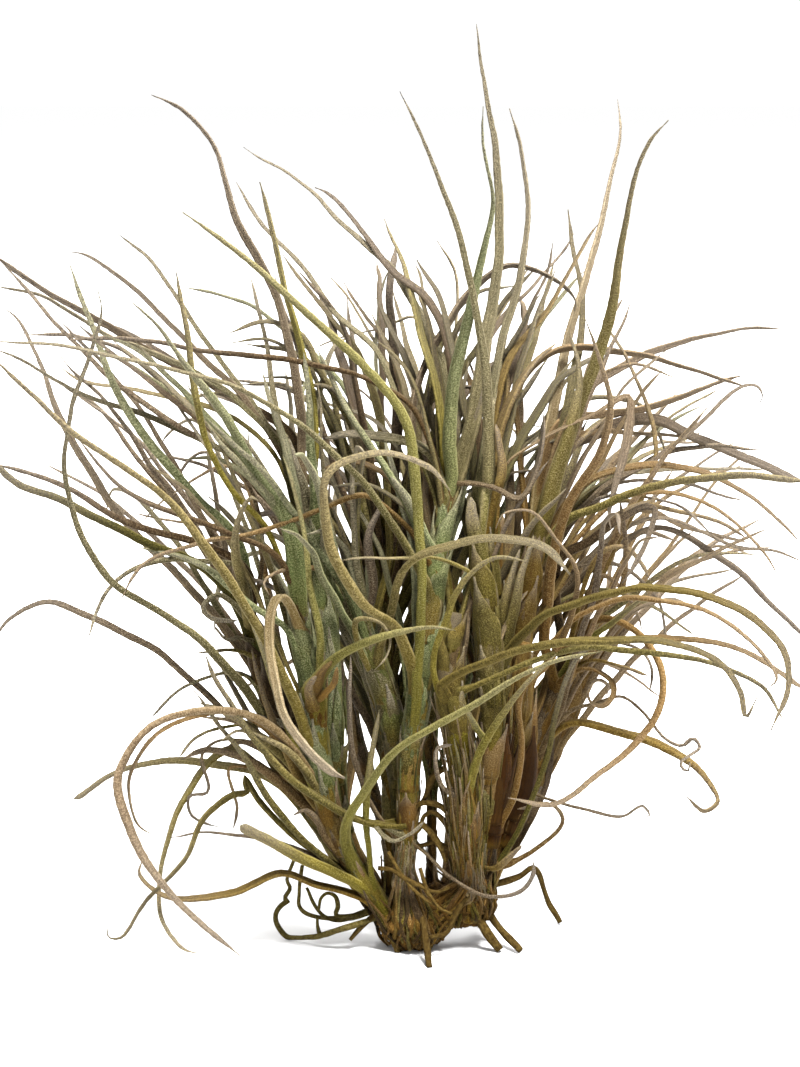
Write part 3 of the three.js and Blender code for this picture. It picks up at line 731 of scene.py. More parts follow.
# Leaves that stand for the solids of the frame: shoot, share of the shoot where the leaf grows, tone, width
# of the blade or widths from base to tip, depths after the base, and route from the base to the tip.
LEAVES = {
    "leaf_spire": ("shoot_middle", 0.96, "silver", (3.2, 2.3, 1.7, 1.4, 1.2), (0, 4, 6),
        [(465, 450), (477, 390), (493, 295), (500, 218), (492, 130), (475, 24)]),
    "leaf_spire_left": ("shoot_middle", 1, "sage", (3.2, 2.4, 1.6, 1.1, 0.9), (-10, -16, -24),
        [(451, 440), (459, 360), (476, 288), (493, 205), (482, 140), (484, 107)]),
    "leaf_green_spire": ("shoot_speckled", 1, "silver", (3.0, 2.0, 1.4, 1.1, 0.9), (-10, -20, -34),
        [(488, 470), (485, 385), (468, 270), (441, 187), (421, 132), (399, 92)]),
    "leaf_grey_spire": ("shoot_speckled", 0.94, "silver", 1.4, (0, 8, 20),
        [(487, 440), (497, 365), (519, 275), (528, 200), (521, 150), (509, 108)]),
    "leaf_yellow_up": ("shoot_speckled", 0.86, "yellow", (2.4, 1.8, 1.3, 1.1), (6, 16, 32),
        [(496, 450), (512, 402), (535, 342), (548, 285), (554, 256)]),
    "leaf_far_up_left": ("shoot_middle", 0.9, "silver", (2.4, 1.7, 1.3, 1.1, 1.0), (8, 20, 38),
        [(449, 400), (428, 328), (392, 270), (344, 224), (293, 176), (244, 148)]),
    "leaf_pale_high": ("shoot_right", 0.96, "pale", (2.4, 1.8, 1.5, 1.3), (10, 20, 34),
        [(542, 470), (562, 370), (588, 272), (612, 180), (621, 130), (617, 99)]),
    "leaf_tan_high": ("shoot_right", 1, "khaki", (2.8, 2.1, 1.7, 1.5, 1.3), (-2, -10, -22),
        [(552, 487), (582, 400), (608, 330), (618, 265), (632, 195), (650, 140), (668, 120)]),
    "leaf_right_olive": ("shoot_right", 0.9, "rose", 1.4, (16, 26, 38),
        [(555, 425), (590, 387), (645, 356), (700, 337), (745, 329), (785, 329)]),
    "leaf_right_dark": ("shoot_right", 0.84, "dark", 2.0, (13, 16, 22),
        [(560, 455), (600, 430), (650, 419), (700, 438), (760, 464), (810, 484)]),
    "leaf_right_green": ("shoot_right", 0.78, "olive", 1.8, (-6, -12, -20),
        [(560, 525), (600, 506), (650, 485), (700, 478), (760, 475), (812, 482)]),
    "leaf_golden_middle": ("shoot_outer_right", 0.86, "tan", (2.2, 1.8, 1.5, 1.3), (-6, -18, -32),
        [(545, 640), (553, 565), (572, 498), (603, 445), (611, 400), (584, 317)]),
    "leaf_right_long": ("shoot_right", 0.68, "dark", 1.6, (14, 24, 36),
        [(560, 600), (620, 544), (660, 525), (720, 557), (780, 611), (812, 643)]),
    "leaf_front_arch": ("shoot_speckled", 0.62, "bronze", (2.4, 2.0, 1.7, 1.5, 1.3), (-22, -38, -50),
        [(530, 625), (575, 601), (640, 587), (720, 599), (780, 643), (790, 675), (771, 731)]),
    "leaf_right_pink": ("shoot_right", 0.55, "tan", 1.4, (2, 0, 3),
        [(560, 648), (600, 641), (670, 636), (740, 650), (812, 692)]),
    "leaf_big_arch": ("shoot_mid_right", 0.7, "bronze", (1.9, 2.0, 1.9, 1.5, 1.2), (-26, -38, -46),
        [(440, 686), (462, 670), (527, 647), (600, 638), (670, 643), (720, 663), (742, 692), (747, 716),
         (757, 698)]),
    "leaf_tan_hook": ("shoot_outer_right", 0.97, "tan", 1.7, (-6, -14, -20),
        [(600, 618), (640, 632), (664, 670), (655, 720), (600, 775), (550, 806), (508, 797)]),
    "leaf_golden_low": ("shoot_outer_right", 0.62, "straw", (1.8, 2.2, 2.2, 1.8, 0.8), (8, 4, -2),
        [(570, 722), (600, 725), (660, 743), (700, 770), (720, 800), (705, 811), (684, 794)]),
    "leaf_pale_loop": ("shoot_middle", 0.5, "khaki", (2.4, 2.2, 2.0, 1.6, 1.4), (-24, -30, -28),
        [(398, 630), (362, 600), (330, 535), (330, 472), (385, 453), (428, 467), (450, 492)]),
    "leaf_long_front": ("shoot_middle", 0.36, "lime", 1.6, (-14, -18, -14, -6),
        [(417, 690), (421, 590), (418, 500), (404, 420), (362, 362), (296, 304), (230, 244), (182, 212)]),
    "leaf_cream_arch": ("shoot_diagonal", 0.58, "khaki", 1.7, (-16, -30, -36),
        [(391, 605), (408, 563), (460, 541), (515, 540), (550, 550), (570, 573)]),
    "leaf_low_front": ("shoot_left", 0.17, "lime", (2.2, 2.0, 1.8, 1.5, 1.1), (-26, -40, -50),
        [(345, 828), (364, 788), (398, 748), (464, 708), (553, 661), (600, 651)]),
    "leaf_blue_left": ("shoot_left", 1, "sage", (3.4, 2.4, 1.6, 1.3, 1.1), (-12, -15, -20),
        [(285, 515), (255, 468), (222, 412), (183, 360), (158, 325), (126, 298)]),
    "leaf_pink_loop": ("shoot_left", 0.9, "pale", 1.55, (-22, -28, -34),
        [(281, 594), (268, 625), (273, 675), (293, 732), (329, 772), (344, 778)]),
    "leaf_long_speckled": ("shoot_middle", 0.74, "silver", (2.2, 1.7, 1.3, 1.1, 1.0), (-15, -24, -36),
        [(410, 552), (366, 483), (302, 425), (225, 382), (120, 357), (40, 343), (-12, 340)]),
    "leaf_dark_far_left": ("shoot_diagonal", 0.97, "dark", 1.3, (12, 26, 42),
        [(298, 450), (285, 428), (215, 387), (143, 347), (77, 309), (25, 278), (-12, 252)]),
    "leaf_kinked": ("shoot_left", 0.95, "mauve", 1.5, (4, 18, 36),
        [(303, 470), (298, 400), (281, 311), (237, 219), (212, 145), (184, 110), (152, 96)]),
    "leaf_far_green": ("shoot_diagonal", 0.66, "olive", 1.4, (10, 24, 44),
        [(388, 560), (386, 480), (374, 395), (357, 350), (332, 321), (282, 252)]),
    "leaf_low_s": ("shoot_outer_left", 0.42, "silver", (1.8, 1.5, 1.2, 1.0, 1.0), (-10, -18, -28),
        [(268, 723), (209, 646), (110, 577), (68, 497), (72, 410), (102, 314), (99, 288)]),
    "leaf_outer_left": ("shoot_outer_left", 0.78, "mauve", 1.5, (9, 18, 30),
        [(222, 622), (170, 568), (107, 497), (69, 433), (43, 372), (18, 319), (2, 304)]),
    "leaf_yellow_long": ("shoot_left", 0.45, "khaki", (1.8, 1.6, 1.4, 1.2), (-20, -26, -34),
        [(296, 703), (265, 640), (224, 571), (163, 495), (84, 440), (33, 395), (-12, 352)]),
    "leaf_olive_left": ("shoot_outer_left", 0.96, "moss", 1.5, (-4, -8, -12),
        [(217, 579), (140, 538), (64, 502), (20, 485), (-12, 456)]),
    "leaf_grey_arch": ("shoot_outer_left", 0.58, "mauve", 1.4, (6, 4, 8),
        [(250, 730), (205, 691), (158, 652), (97, 619), (48, 602), (8, 621), (-8, 645)]),
    "leaf_blunt": ("shoot_outer_left", 0.3, "khaki", 1.7, (6, 8, 10),
        [(265, 775), (212, 762), (160, 760), (112, 774), (73, 798)]),
    "leaf_tan_arch": ("shoot_left", 0.36, "rose", 2.0, (-14, -18, -16, -11),
        [(270, 722), (204, 709), (153, 723), (117, 774), (128, 830), (163, 884), (204, 928), (240, 956)]),
    "leaf_golden_droop": ("shoot_outer_left", 0.22, "cream", 1.6, (3, -2, -8),
        [(230, 749), (184, 797), (160, 865), (161, 915), (181, 948), (200, 954)]),
    "leaf_low_yellow": ("shoot_left", 0.06, "yellow", 2.0, (-9, -13, -18),
        [(332, 871), (281, 846), (240, 826)]),
    "leaf_hanging_right": ("shoot_right", 0.1, "dark", 1, (11, 13, 16),
        [(507, 856), (543, 792), (558, 716), (584, 660), (600, 645)]),
    "leaf_back_up": ("shoot_back", 1, "olive", 1.5, (33, 44, 58), [(425, 500), (418, 390), (392, 290)]),
    "leaf_back_left": ("shoot_back", 0.9, "mauve", 1.5, (38, 52, 66), [(380, 520), (290, 430), (190, 385)]),
    "leaf_back_right": ("shoot_back_right", 1, "olive", 1.5, (36, 50, 64),
        [(540, 550), (620, 470), (705, 430)]),
    "leaf_back_low_left": ("shoot_back", 0.55, "tan", 1.5, (38, 54, 60),
        [(395, 690), (330, 650), (235, 690)]),
    "leaf_back_low_right": ("shoot_back_right", 0.5, "tan", 1.5, (38, 52, 58),
        [(535, 690), (600, 660), (665, 700)]),
}

# More leaves of the tuft, each row as above. They are too thin and too many to be solids of the frame.
MORE_LEAVES = [
    # Top, in the middle
    ("shoot_speckled", 0.9, "dark", 1.1, (4, 18),
        [(494, 440), (504, 395), (519, 350), (530, 310), (545, 275), (553, 240)]),
    ("shoot_middle", 0.78, "mauve", 1.5, (0, 8, 12),
        [(412, 440), (418, 388), (438, 342), (470, 292), (510, 267), (556, 281), (575, 300), (574, 310)]),
    ("shoot_middle", 0.94, "yellow", 1.6, (2, 22),
        [(440, 405), (430, 362), (420, 322), (409, 282), (397, 247), (385, 219)]),
    ("shoot_middle", 0.97, "dark", 1.3, (6, 30),
        [(453, 410), (449, 350), (430, 303), (392, 269), (362, 231), (329, 194), (316, 188)]),
    ("shoot_middle", 0.95, "olive", 1.0, (6, 26), [(440, 410), (428, 330), (419, 273), (413, 263)]),
    ("shoot_back", 0.97, "cream", 1.1, (32, 42), [(452, 400), (455, 330), (454, 270), (438, 240)]),
    ("shoot_speckled", 0.97, "dark", 1.2, (0, 28),
        [(478, 420), (485, 350), (508, 310), (540, 277), (568, 245), (574, 233)]),
    ("shoot_speckled", 0.95, "straw", 1.3, (2, 12),
        [(492, 430), (508, 362), (545, 312), (571, 267), (590, 235), (600, 223)]),
    # Behind the top
    ("shoot_back", 0.9, "sage", 1.0, (36, 46),
        [(390, 470), (377, 370), (379, 300), (389, 271), (393, 266)]),
    ("shoot_back", 0.95, "silver", 1.0, (34, 46),
        [(440, 420), (430, 340), (413, 318), (380, 330), (340, 338), (305, 352)]),
    ("shoot_back", 0.85, "cream", 1.0, (36, 48),
        [(400, 450), (393, 378), (366, 328), (347, 295), (328, 273)]),
    ("shoot_middle", 0.85, "tan", 1.1, (10, 30), [(410, 420), (388, 345), (365, 315), (342, 280)]),
    ("shoot_back", 0.8, "mauve", 1.0, (34, 42), [(400, 450), (370, 398), (340, 374)]),
    ("shoot_middle", 0.7, "silver", 1.0, (8, 22), [(410, 470), (372, 420), (340, 407), (318, 400)]),
    ("shoot_left", 0.97, "silver", 1.4, (2, 26), [(303, 520), (292, 425), (285, 370)]),
    # Upper right
    ("shoot_right", 0.9, "olive", 1.4, (10, 24),
        [(556, 450), (570, 395), (580, 345), (582, 300), (575, 255), (568, 209)]),
    ("shoot_right", 0.95, "tan", 1.3, (8, 30),
        [(520, 450), (522, 385), (560, 350), (620, 352), (690, 369), (735, 383), (750, 390)]),
    ("shoot_right", 0.88, "mauve", 1.0, (8, 20),
        [(600, 490), (655, 458), (700, 423), (742, 386), (757, 386), (763, 396), (758, 405), (753, 403)]),
    ("shoot_right", 0.92, "tan", 1.5, (10, 34),
        [(560, 424), (600, 416), (640, 410), (680, 397), (725, 381), (745, 375)]),
    ("shoot_right", 0.8, "olive", 1.3, (10, 26),
        [(580, 500), (610, 478), (635, 450), (672, 415), (722, 386)]),
    ("shoot_outer_right", 0.95, "straw", 1.1, (8, 16),
        [(608, 560), (645, 490), (655, 455), (647, 405), (625, 357), (600, 316)]),
    ("shoot_right", 0.85, "tan", 1.3, (4, 8),
        [(575, 490), (620, 468), (690, 468), (735, 485), (780, 522), (802, 545)]),
    ("shoot_right", 0.86, "silver", 1.1, (8, 30), [(590, 480), (640, 470), (700, 469), (768, 468)]),
    ("shoot_speckled", 1.0, "rose", (0.7, 0.7, 0.7, 0.7, 0.7, 0.7, 1.3, 2.2, 2.2, 1.5, 0.6), (-5, -7, -8),
        [(492, 490), (507, 463), (544, 437), (587, 417), (629, 396), (632, 412), (624, 455), (611, 500),
         (608, 516), (612, 534)]),
    ("shoot_right", 0.9, "tan", 1.1, (8, 20), [(570, 441), (600, 433), (640, 433), (680, 436), (700, 440)]),
    ("shoot_right", 0.8, "mauve", 1.0, (10, 28), [(600, 490), (683, 483), (720, 495), (746, 500)]),
    ("shoot_right", 0.75, "tan", 1.2, (2, 2), [(620, 498), (700, 500), (743, 528), (765, 552), (778, 578)]),
    ("shoot_right", 0.7, "straw", 1.1, (6, 18), [(600, 506), (680, 512), (720, 521), (752, 542)]),
    ("shoot_outer_right", 0.97, "tan", 1.1, (12, 26), [(632, 512), (690, 528), (750, 544)]),
    ("shoot_right", 0.72, "mauve", 1.0, (12, 34), [(640, 520), (735, 545), (775, 551), (805, 563)]),
    # Right
    ("shoot_outer_right", 0.95, "dark", 1.6, (-6, -14),
        [(560, 562), (590, 540), (620, 519), (647, 507), (655, 510), (650, 535), (635, 563), (622, 583)]),
    ("shoot_outer_right", 0.97, "tan", 1.2, (-2, -8), [(600, 600), (620, 590), (625, 550), (621, 498)]),
    ("shoot_speckled", 0.7, "tan", 1.3, (-18, -34),
        [(540, 645), (580, 615), (620, 597), (660, 599), (720, 617), (765, 655), (776, 678), (766, 688)]),
    ("shoot_mid_right", 0.75, "olive", 1.6, (-14, -34),
        [(478, 682), (530, 660), (590, 646), (650, 651), (700, 660), (740, 672), (765, 688), (785, 724)]),
    ("shoot_outer_right", 0.97, "mauve", 1.0, (2, -6), [(600, 640), (640, 650), (652, 670), (649, 692)]),
    ("shoot_outer_right", 0.9, "straw", 0.9, (2, -12), [(592, 659), (630, 669), (648, 676)]),
    ("shoot_outer_right", 0.85, "tan", 1.1, (2, -8, -12),
        [(560, 680), (590, 667), (612, 680), (614, 694), (603, 706), (590, 700), (589, 687), (597, 681),
         (607, 686), (606, 697)]),
    ("shoot_outer_right", 0.6, "mauve", 0.9, (0, -6),
        [(572, 709), (598, 702), (622, 697), (645, 712), (665, 737), (681, 745), (693, 737), (700, 747),
         (690, 755), (680, 764), (687, 772), (690, 763)]),
    ("shoot_right", 0.3, "mauve", 0.8, (0, -4),
        [(548, 798), (580, 808), (620, 816), (641, 804), (650, 814), (646, 818)]),
    ("shoot_outer_right", 0.97, "straw", 0.9, (4, 2), [(600, 555), (624, 548), (640, 562), (651, 580)]),
    ("shoot_outer_right", 0.9, "tan", 1.0, (6, 8), [(600, 575), (622, 590), (640, 620), (643, 632)]),
    ("shoot_right", 0.75, "olive", 1.0, (8, 14), [(590, 590), (645, 602), (680, 624), (698, 636)]),
    ("shoot_right", 0.85, "mauve", 0.9, (10, 18), [(610, 562), (658, 600), (667, 635), (668, 648)]),
    ("shoot_outer_right", 0.9, "yellow", 1.1, (2, -8), [(585, 640), (620, 617), (648, 593)]),
    # Front, in the middle
    ("shoot_middle", 0.97, "silver", 2.0, (-2, 0), [(432, 455), (405, 440), (350, 433), (325, 438)]),
    ("shoot_right", 0.02, "tan", 1.1, (-4, -10, -18, -24),
        [(499, 830), (515, 795), (521, 745), (521, 694), (547, 665), (572, 612), (577, 573), (558, 540),
         (530, 510), (503, 513), (495, 528)]),
    ("shoot_right", 0.03, "moss", 0.95, (-1, -5, -8),
        [(514, 838), (532, 800), (547, 755), (555, 715), (566, 680), (580, 655), (597, 645)]),
    ("shoot_speckled", 0.8, "cream", 1.0, (-12, -20),
        [(475, 575), (440, 559), (400, 557), (360, 557), (341, 560)]),
    ("shoot_mid_right", 0.62, "yellow", 1.1, (-14, -22),
        [(434, 670), (443, 627), (463, 583), (497, 558), (527, 562)]),
    ("shoot_left", 0.75, "lime", (2.6, 2.5, 2.3, 2.2, 1.8, 1.0), (-20, -26),
        [(325, 665), (350, 646), (390, 633), (430, 627), (455, 631)]),
    ("shoot_left", 0.7, "bark", 2.2, (-15, -18), [(316, 684), (322, 670), (331, 661)]),
    ("shoot_left", 0.67, "straw", 1.8, (-14, -17), [(311, 697), (309, 686), (315, 676)]),
    ("shoot_left", 0.71, "bark", 1.4, (-15, -20), [(322, 692), (334, 682), (338, 668)]),
    ("shoot_left", 0.7, "sage", 1.8, (-11, -9, -4),
        [(287, 628), (260, 607), (233, 588), (207, 567), (180, 556), (140, 546)]),
    ("trunk_tan", 0.96, "sage", 1.7, (-9, -11, -12), [(314, 490), (311, 450), (308, 400), (303, 352)]),
    ("trunk_speckled", 0.9, "olive", 2.6, (-7, -7), [(477, 540), (471, 515), (470, 498)]),
    ("trunk_speckled", 0.97, "silver", (4.4, 2.6, 1.6, 1.2, 1.0), (-5, 4, 12),
        [(480, 480), (492, 400), (505, 335), (512, 292)]),
    ("trunk_gold", 0.97, "khaki", (3.8, 2.6, 1.7, 1.2), (-5, -2),
        [(556, 472), (572, 420), (578, 372), (570, 330)]),
    ("trunk_diagonal", 0.97, "silver", (3.6, 2.4, 1.6, 1.2), (-7, -2),
        [(312, 520), (302, 480), (289, 440)]),
    ("shoot_middle", 0.8, "sage", 1.5, (-8, -5, 0),
        [(417, 524), (393, 478), (367, 441), (350, 412), (332, 378), (318, 350)]),
    ("shoot_diagonal", 0.55, "cream", 1.0, (-12, -18),
        [(357, 621), (378, 622), (390, 638), (386, 658), (375, 669)]),
    ("shoot_middle", 0.99, "mauve", 1.4, (-8, -10),
        [(477, 482), (498, 487), (520, 497), (537, 465), (543, 414)]),
    ("shoot_speckled", 0.98, "straw", 2.2, (-6, -8), [(500, 470), (499, 445), (497, 425)]),
    ("shoot_middle", 0.83, "sage", 1.9, (-9, -10), [(430, 540), (410, 505), (390, 477)]),
    ("shoot_speckled", 0.6, "olive", 2.2, (-6, -8), [(508, 630), (515, 600), (525, 560), (533, 535)]),
    ("shoot_speckled", 0.66, "olive", 1.8, (-6, -7), [(503, 610), (512, 575), (520, 550)]),
    ("shoot_mid_right", 0.3, "yellow", 1.5, (-16, -22), [(474, 765), (487, 737), (520, 690), (555, 655)]),
    ("shoot_speckled", 0.45, "yellow", 1.5, (-10, -16), [(487, 738), (474, 720), (463, 705)]),
    ("shoot_middle", 0.15, "mauve", 1.2, (-9, -12), [(380, 818), (360, 775), (350, 720), (350, 655)]),
    ("shoot_left", 0.04, "yellow", 1.5, (-9, -11), [(368, 860), (366, 800), (372, 745), (378, 710)]),
    ("shoot_mid_right", 0.4, "mauve", 1.0, (-11, -12), [(443, 785), (437, 765), (438, 748), (452, 744)]),
    ("shoot_diagonal", 0.7, "mauve", 2.0, (-4, -5), [(371, 588), (368, 535), (383, 500)]),
    ("shoot_middle", 0.2, "olive", 2.0, (-11, -13, -14, -16),
        [(372, 822), (320, 798), (262, 745), (222, 690), (206, 655)]),
    ("shoot_middle", 0.17, "silver", 0.95, (-9, -14), [(376, 826), (392, 840), (408, 834), (424, 820)]),
    # Left
    ("shoot_left", 0.95, "yellow", 1.5, (-12, -14),
        [(268, 528), (232, 488), (208, 440), (193, 380), (186, 320), (176, 270)]),
    ("shoot_left", 0.62, "lime", 1.5, (-14, -16),
        [(320, 640), (308, 580), (301, 525), (290, 478), (283, 455)]),
    ("shoot_middle", 0.8, "tan", 1.4, (-12, -16),
        [(367, 495), (319, 508), (260, 531), (200, 541), (143, 565), (122, 598)]),
    ("shoot_outer_left", 0.99, "khaki", 1.7, (-12, -20),
        [(243, 590), (235, 550), (240, 512), (250, 497), (258, 501)]),
    ("shoot_diagonal", 0.85, "tan", 1.0, (-10, -16),
        [(335, 573), (305, 568), (275, 573), (264, 583), (270, 595)]),
    ("shoot_outer_left", 0.97, "silver", 0.9, (-2, -4),
        [(240, 611), (217, 595), (204, 609), (212, 618), (237, 620)]),
    ("shoot_outer_left", 0.96, "silver", 0.8, (-2, -4), [(240, 636), (227, 639), (214, 624)]),
    ("shoot_middle", 0.93, "dark", 1.4, (-2, -4),
        [(415, 410), (362, 375), (293, 360), (217, 351), (128, 339), (66, 339)]),
    ("shoot_middle", 0.9, "silver", 1.1, (4, 18),
        [(405, 420), (377, 349), (334, 311), (301, 265), (263, 224), (236, 182)]),
    ("shoot_diagonal", 1, "yellow", 1.4, (2, 10),
        [(315, 425), (301, 352), (286, 293), (272, 232), (259, 181)]),
    ("shoot_diagonal", 0.95, "silver", 1.0, (8, 34),
        [(290, 470), (250, 400), (212, 350), (181, 304), (153, 263), (118, 233)]),
    ("shoot_diagonal", 0.93, "mauve", 1.1, (8, 28),
        [(280, 450), (240, 395), (205, 360), (166, 319), (115, 274), (84, 254), (70, 251)]),
    ("shoot_diagonal", 0.98, "silver", 1.1, (6, 26), [(292, 500), (280, 430), (268, 357), (251, 276)]),
    ("shoot_outer_left", 0.95, "sage", 1.6, (4, 8),
        [(240, 545), (196, 497), (156, 452), (122, 403), (100, 348), (78, 290), (70, 266)]),
    ("shoot_left", 0.93, "dark", 1.5, (-14, -22),
        [(281, 559), (230, 533), (173, 510), (122, 487), (78, 440)]),
    ("shoot_outer_left", 0.98, "dark", 1.3, (0, -2),
        [(246, 571), (191, 541), (128, 523), (51, 480), (-8, 463)]),
    ("shoot_outer_left", 0.95, "silver", 0.9, (-4, -16),
        [(240, 568), (200, 560), (143, 565), (107, 590), (88, 640)]),
    ("shoot_diagonal", 0.92, "silver", 1.0, (6, 20),
        [(270, 480), (200, 440), (140, 413), (75, 391), (20, 360), (-8, 348)]),
    ("shoot_diagonal", 0.9, "cream", 0.9, (10, 32),
        [(270, 450), (220, 410), (163, 396), (115, 386), (77, 378), (59, 367)]),
    ("shoot_left", 0.98, "dark", 1.1, (0, 4), [(285, 520), (250, 465), (191, 413), (128, 365), (73, 321)]),
    ("shoot_diagonal", 0.96, "mauve", 0.9, (10, 36), [(280, 440), (210, 385), (155, 348), (109, 323)]),
    ("shoot_diagonal", 0.97, "silver", 1.0, (10, 30),
        [(290, 460), (230, 395), (170, 360), (110, 337), (46, 298), (-8, 286)]),
    ("shoot_outer_left", 1, "mauve", 1.2, (6, 16),
        [(262, 540), (235, 465), (180, 427), (115, 383), (69, 338), (33, 296), (3, 263)]),
    ("trunk_back_left", 0.9, "tan", 1.1, (42, 50), [(260, 540), (175, 520), (130, 513)]),
    ("trunk_back_left", 0.97, "mauve", 1.0, (42, 52), [(270, 510), (215, 470), (170, 456), (133, 463)]),
    ("trunk_back_left", 0.95, "mauve", 1.0, (42, 48), [(260, 500), (205, 452), (165, 490)]),
    ("trunk_left_deep", 0.97, "tan", 1.0, (34, 42), [(262, 560), (235, 468), (170, 495), (140, 525)]),
    ("trunk_left_deep", 0.9, "silver", 1.0, (34, 44), [(256, 560), (195, 420), (165, 437), (160, 450)]),
    ("shoot_outer_left", 0.9, "olive", 1.0, (0, -6), [(258, 657), (240, 650), (198, 651)]),
    # Bottom left
    ("shoot_left", 0.4, "tan", 1.0, (-12, -16),
        [(240, 712), (205, 714), (155, 735), (130, 772), (129, 792), (138, 825), (154, 836)]),
    ("shoot_left", 0.03, "olive", 1.15, (-6, -12, -15),
        [(345, 870), (300, 840), (262, 805), (245, 778), (247, 792), (233, 795), (205, 818), (187, 858),
         (145, 902), (120, 938), (108, 936), (109, 925)]),
    ("shoot_left", 0.08, "mauve", 1.0, (-6, -8), [(300, 850), (260, 838), (204, 831), (171, 838)]),
    ("shoot_left", 0.01, "straw", 1.6, (-5, -8),
        [(345, 890), (320, 884), (283, 873), (230, 892), (165, 895), (140, 875), (143, 858)]),
    ("shoot_left", 0.02, "olive", 1.8, (-9, -12, -13),
        [(330, 862), (297, 831), (274, 802), (248, 760), (219, 724), (200, 698), (193, 690)]),
    ("shoot_left", 0.05, "olive", 1.7, (2, 4, 5),
        [(330, 846), (290, 788), (262, 742), (240, 700), (218, 660)]),
    ("shoot_outer_left", 0.05, "tan", 1.8, (-2, 0, 0),
        [(340, 852), (300, 800), (268, 772), (238, 756), (205, 750), (180, 760)]),
    ("shoot_outer_left", 0.1, "straw", 1.6, (-3, -4, -6),
        [(330, 826), (300, 782), (280, 738), (262, 690), (252, 650)]),
    ("shoot_left", 0.1, "yellow", 1.7, (-9, -11, -12),
        [(330, 820), (306, 774), (287, 730), (271, 680), (258, 640), (246, 610)]),
    ("shoot_outer_left", 0.2, "tan", 1.6, (0, 0, -2), [(310, 790), (270, 745), (232, 722), (200, 716)]),
    ("trunk_tan", 0.3, "bark", 1.6, (2, 4, 5), [(320, 780), (296, 730), (300, 690), (312, 650)]),
    ("trunk_tan", 0.2, "tan", 1.6, (3, 5, 6), [(345, 800), (352, 750), (348, 700), (336, 650)]),
    ("shoot_outer_left", 0.65, "olive", 0.9, (0, -4), [(224, 726), (191, 739), (179, 757)]),
    ("shoot_outer_left", 0.25, "olive", 1.8, (-2, -6),
        [(300, 775), (270, 745), (240, 722), (215, 708), (198, 701)]),
    ("shoot_left", 0.3, "khaki", 1.6, (-12, -14),
        [(305, 770), (286, 748), (262, 735), (238, 730), (220, 741)]),
    ("shoot_outer_left", 0.15, "straw", 1.7, (0, 2),
        [(318, 815), (290, 775), (262, 750), (240, 742), (224, 748)]),
    ("shoot_left", 0.12, "tan", 1.7, (-7, -8), [(328, 838), (317, 816), (306, 808), (294, 815)]),
    ("shoot_outer_left", 0.35, "dark", 2.4, (3, 4), [(292, 745), (285, 700), (272, 660), (258, 630)]),
    ("shoot_outer_left", 0.4, "silver", 1.5, (-3, -5), [(300, 738), (284, 724), (262, 717), (238, 712)]),
    ("shoot_outer_left", 0.55, "mauve", 0.7, (-2, -6),
        [(222, 739), (202, 754), (207, 792), (189, 796), (190, 815), (204, 824), (218, 827)]),
    ("shoot_outer_left", 0.8, "silver", 0.9, (4, 6), [(240, 672), (189, 683), (150, 718)]),
    ("shoot_outer_left", 0.45, "tan", 0.9, (0, -2), [(230, 767), (237, 810), (233, 828)]),
    # Low, on the right
    ("shoot_middle", 0.16, "mauve", 0.9, (-7, -12),
        [(410, 836), (450, 876), (490, 896), (520, 890), (533, 872), (533, 862)]),
    ("shoot_right", 0.1, "tan", 0.8, (2, 2),
        [(503, 863), (530, 853), (556, 833), (562, 820), (551, 804), (518, 808)]),
    ("shoot_speckled", 0.08, "straw", 1.7, (-3, -5), [(497, 864), (522, 846)]),
]
# Leaves that end cut off.
BLUNT_LEAVES = {"leaf_blunt", "leaf_low_yellow"}
# Leaves that stay wide almost to the tip, with the share of their width that is left there.
EVEN_LEAVES = {
    "leaf_pale_loop": 0.7, "leaf_pink_loop": 0.9, "leaf_cream_arch": 0.7, "leaf_low_front": 0.65,
    "leaf_tan_arch": 0.5, "leaf_golden_droop": 0.55, "leaf_front_arch": 0.6, "leaf_big_arch": 0.6,
    "leaf_golden_low": 0.6, "leaf_tan_hook": 0.6, "leaf_blunt": 0.9, "leaf_low_yellow": 0.85,
    "leaf_long_front": 0.55, "leaf_long_speckled": 0.65, "leaf_olive_left": 0.7, "leaf_yellow_long": 0.7,
    "leaf_dark_far_left": 0.7, "leaf_right_dark": 0.7, "leaf_right_green": 0.7, "leaf_right_long": 0.65,
    "leaf_right_pink": 0.7, "leaf_low_s": 0.6,
}


def painted_pale_share(carrier, depth):
    """How much painted light pales a leaf whose tip lies at a depth."""
    return PAINTED_PALENESS[PART_OF[carrier]] * float(np.interp(depth, (0, PALEST_DEPTH), (0, 1)))


def add_listed_leaf(bunch, row, rng, **habit):
    """A leaf of a row: it starts on its shoot and follows its route."""
    carrier, at, _, width, depths, route = row
    bunch.painted_pale_share = painted_pale_share(carrier, depths[-1])
    start = shoots[carrier].point(at)
    points = placed_route([sheet_point(start), *route], [start[1], *depths])[1:]
    add_leaf(bunch, shoots[carrier], at, width, points, rng, **habit)


def leaf_piece(name):
    """The leaf that stands for one solid."""
    rng = random.Random(name)
    bunch = Bunch()
    add_listed_leaf(bunch, LEAVES[name], rng, step=0.7, dry=rng.uniform(0, 0.2), rough=0.16,
                    tip=EVEN_LEAVES.get(name, TIP_SHARE), blunt=name in BLUNT_LEAVES)
    tone = LEAVES[name][2]
    piece_from(name + "_look", bunch, LEAF_MATERIALS[tone], blade_slot(tone), [name])


def more_leaf_pieces():
    """The other leaves, in a piece for each part of the tuft and tone."""
    bunches = {}
    for number, row in enumerate(MORE_LEAVES):
        carrier, _, tone, width, _, _ = row
        rng = random.Random(1000 + number)
        add_listed_leaf(bunch_for(bunches, PART_OF[carrier], tone), row, rng, sheath=7.0, detail=7, step=0.9,
                        dry=rng.uniform(0, 0.25), rough=0.14, tip=0.5 if np.max(width) > 0.95 else 0.8)
    tone_pieces("more", bunches, blade_slot)


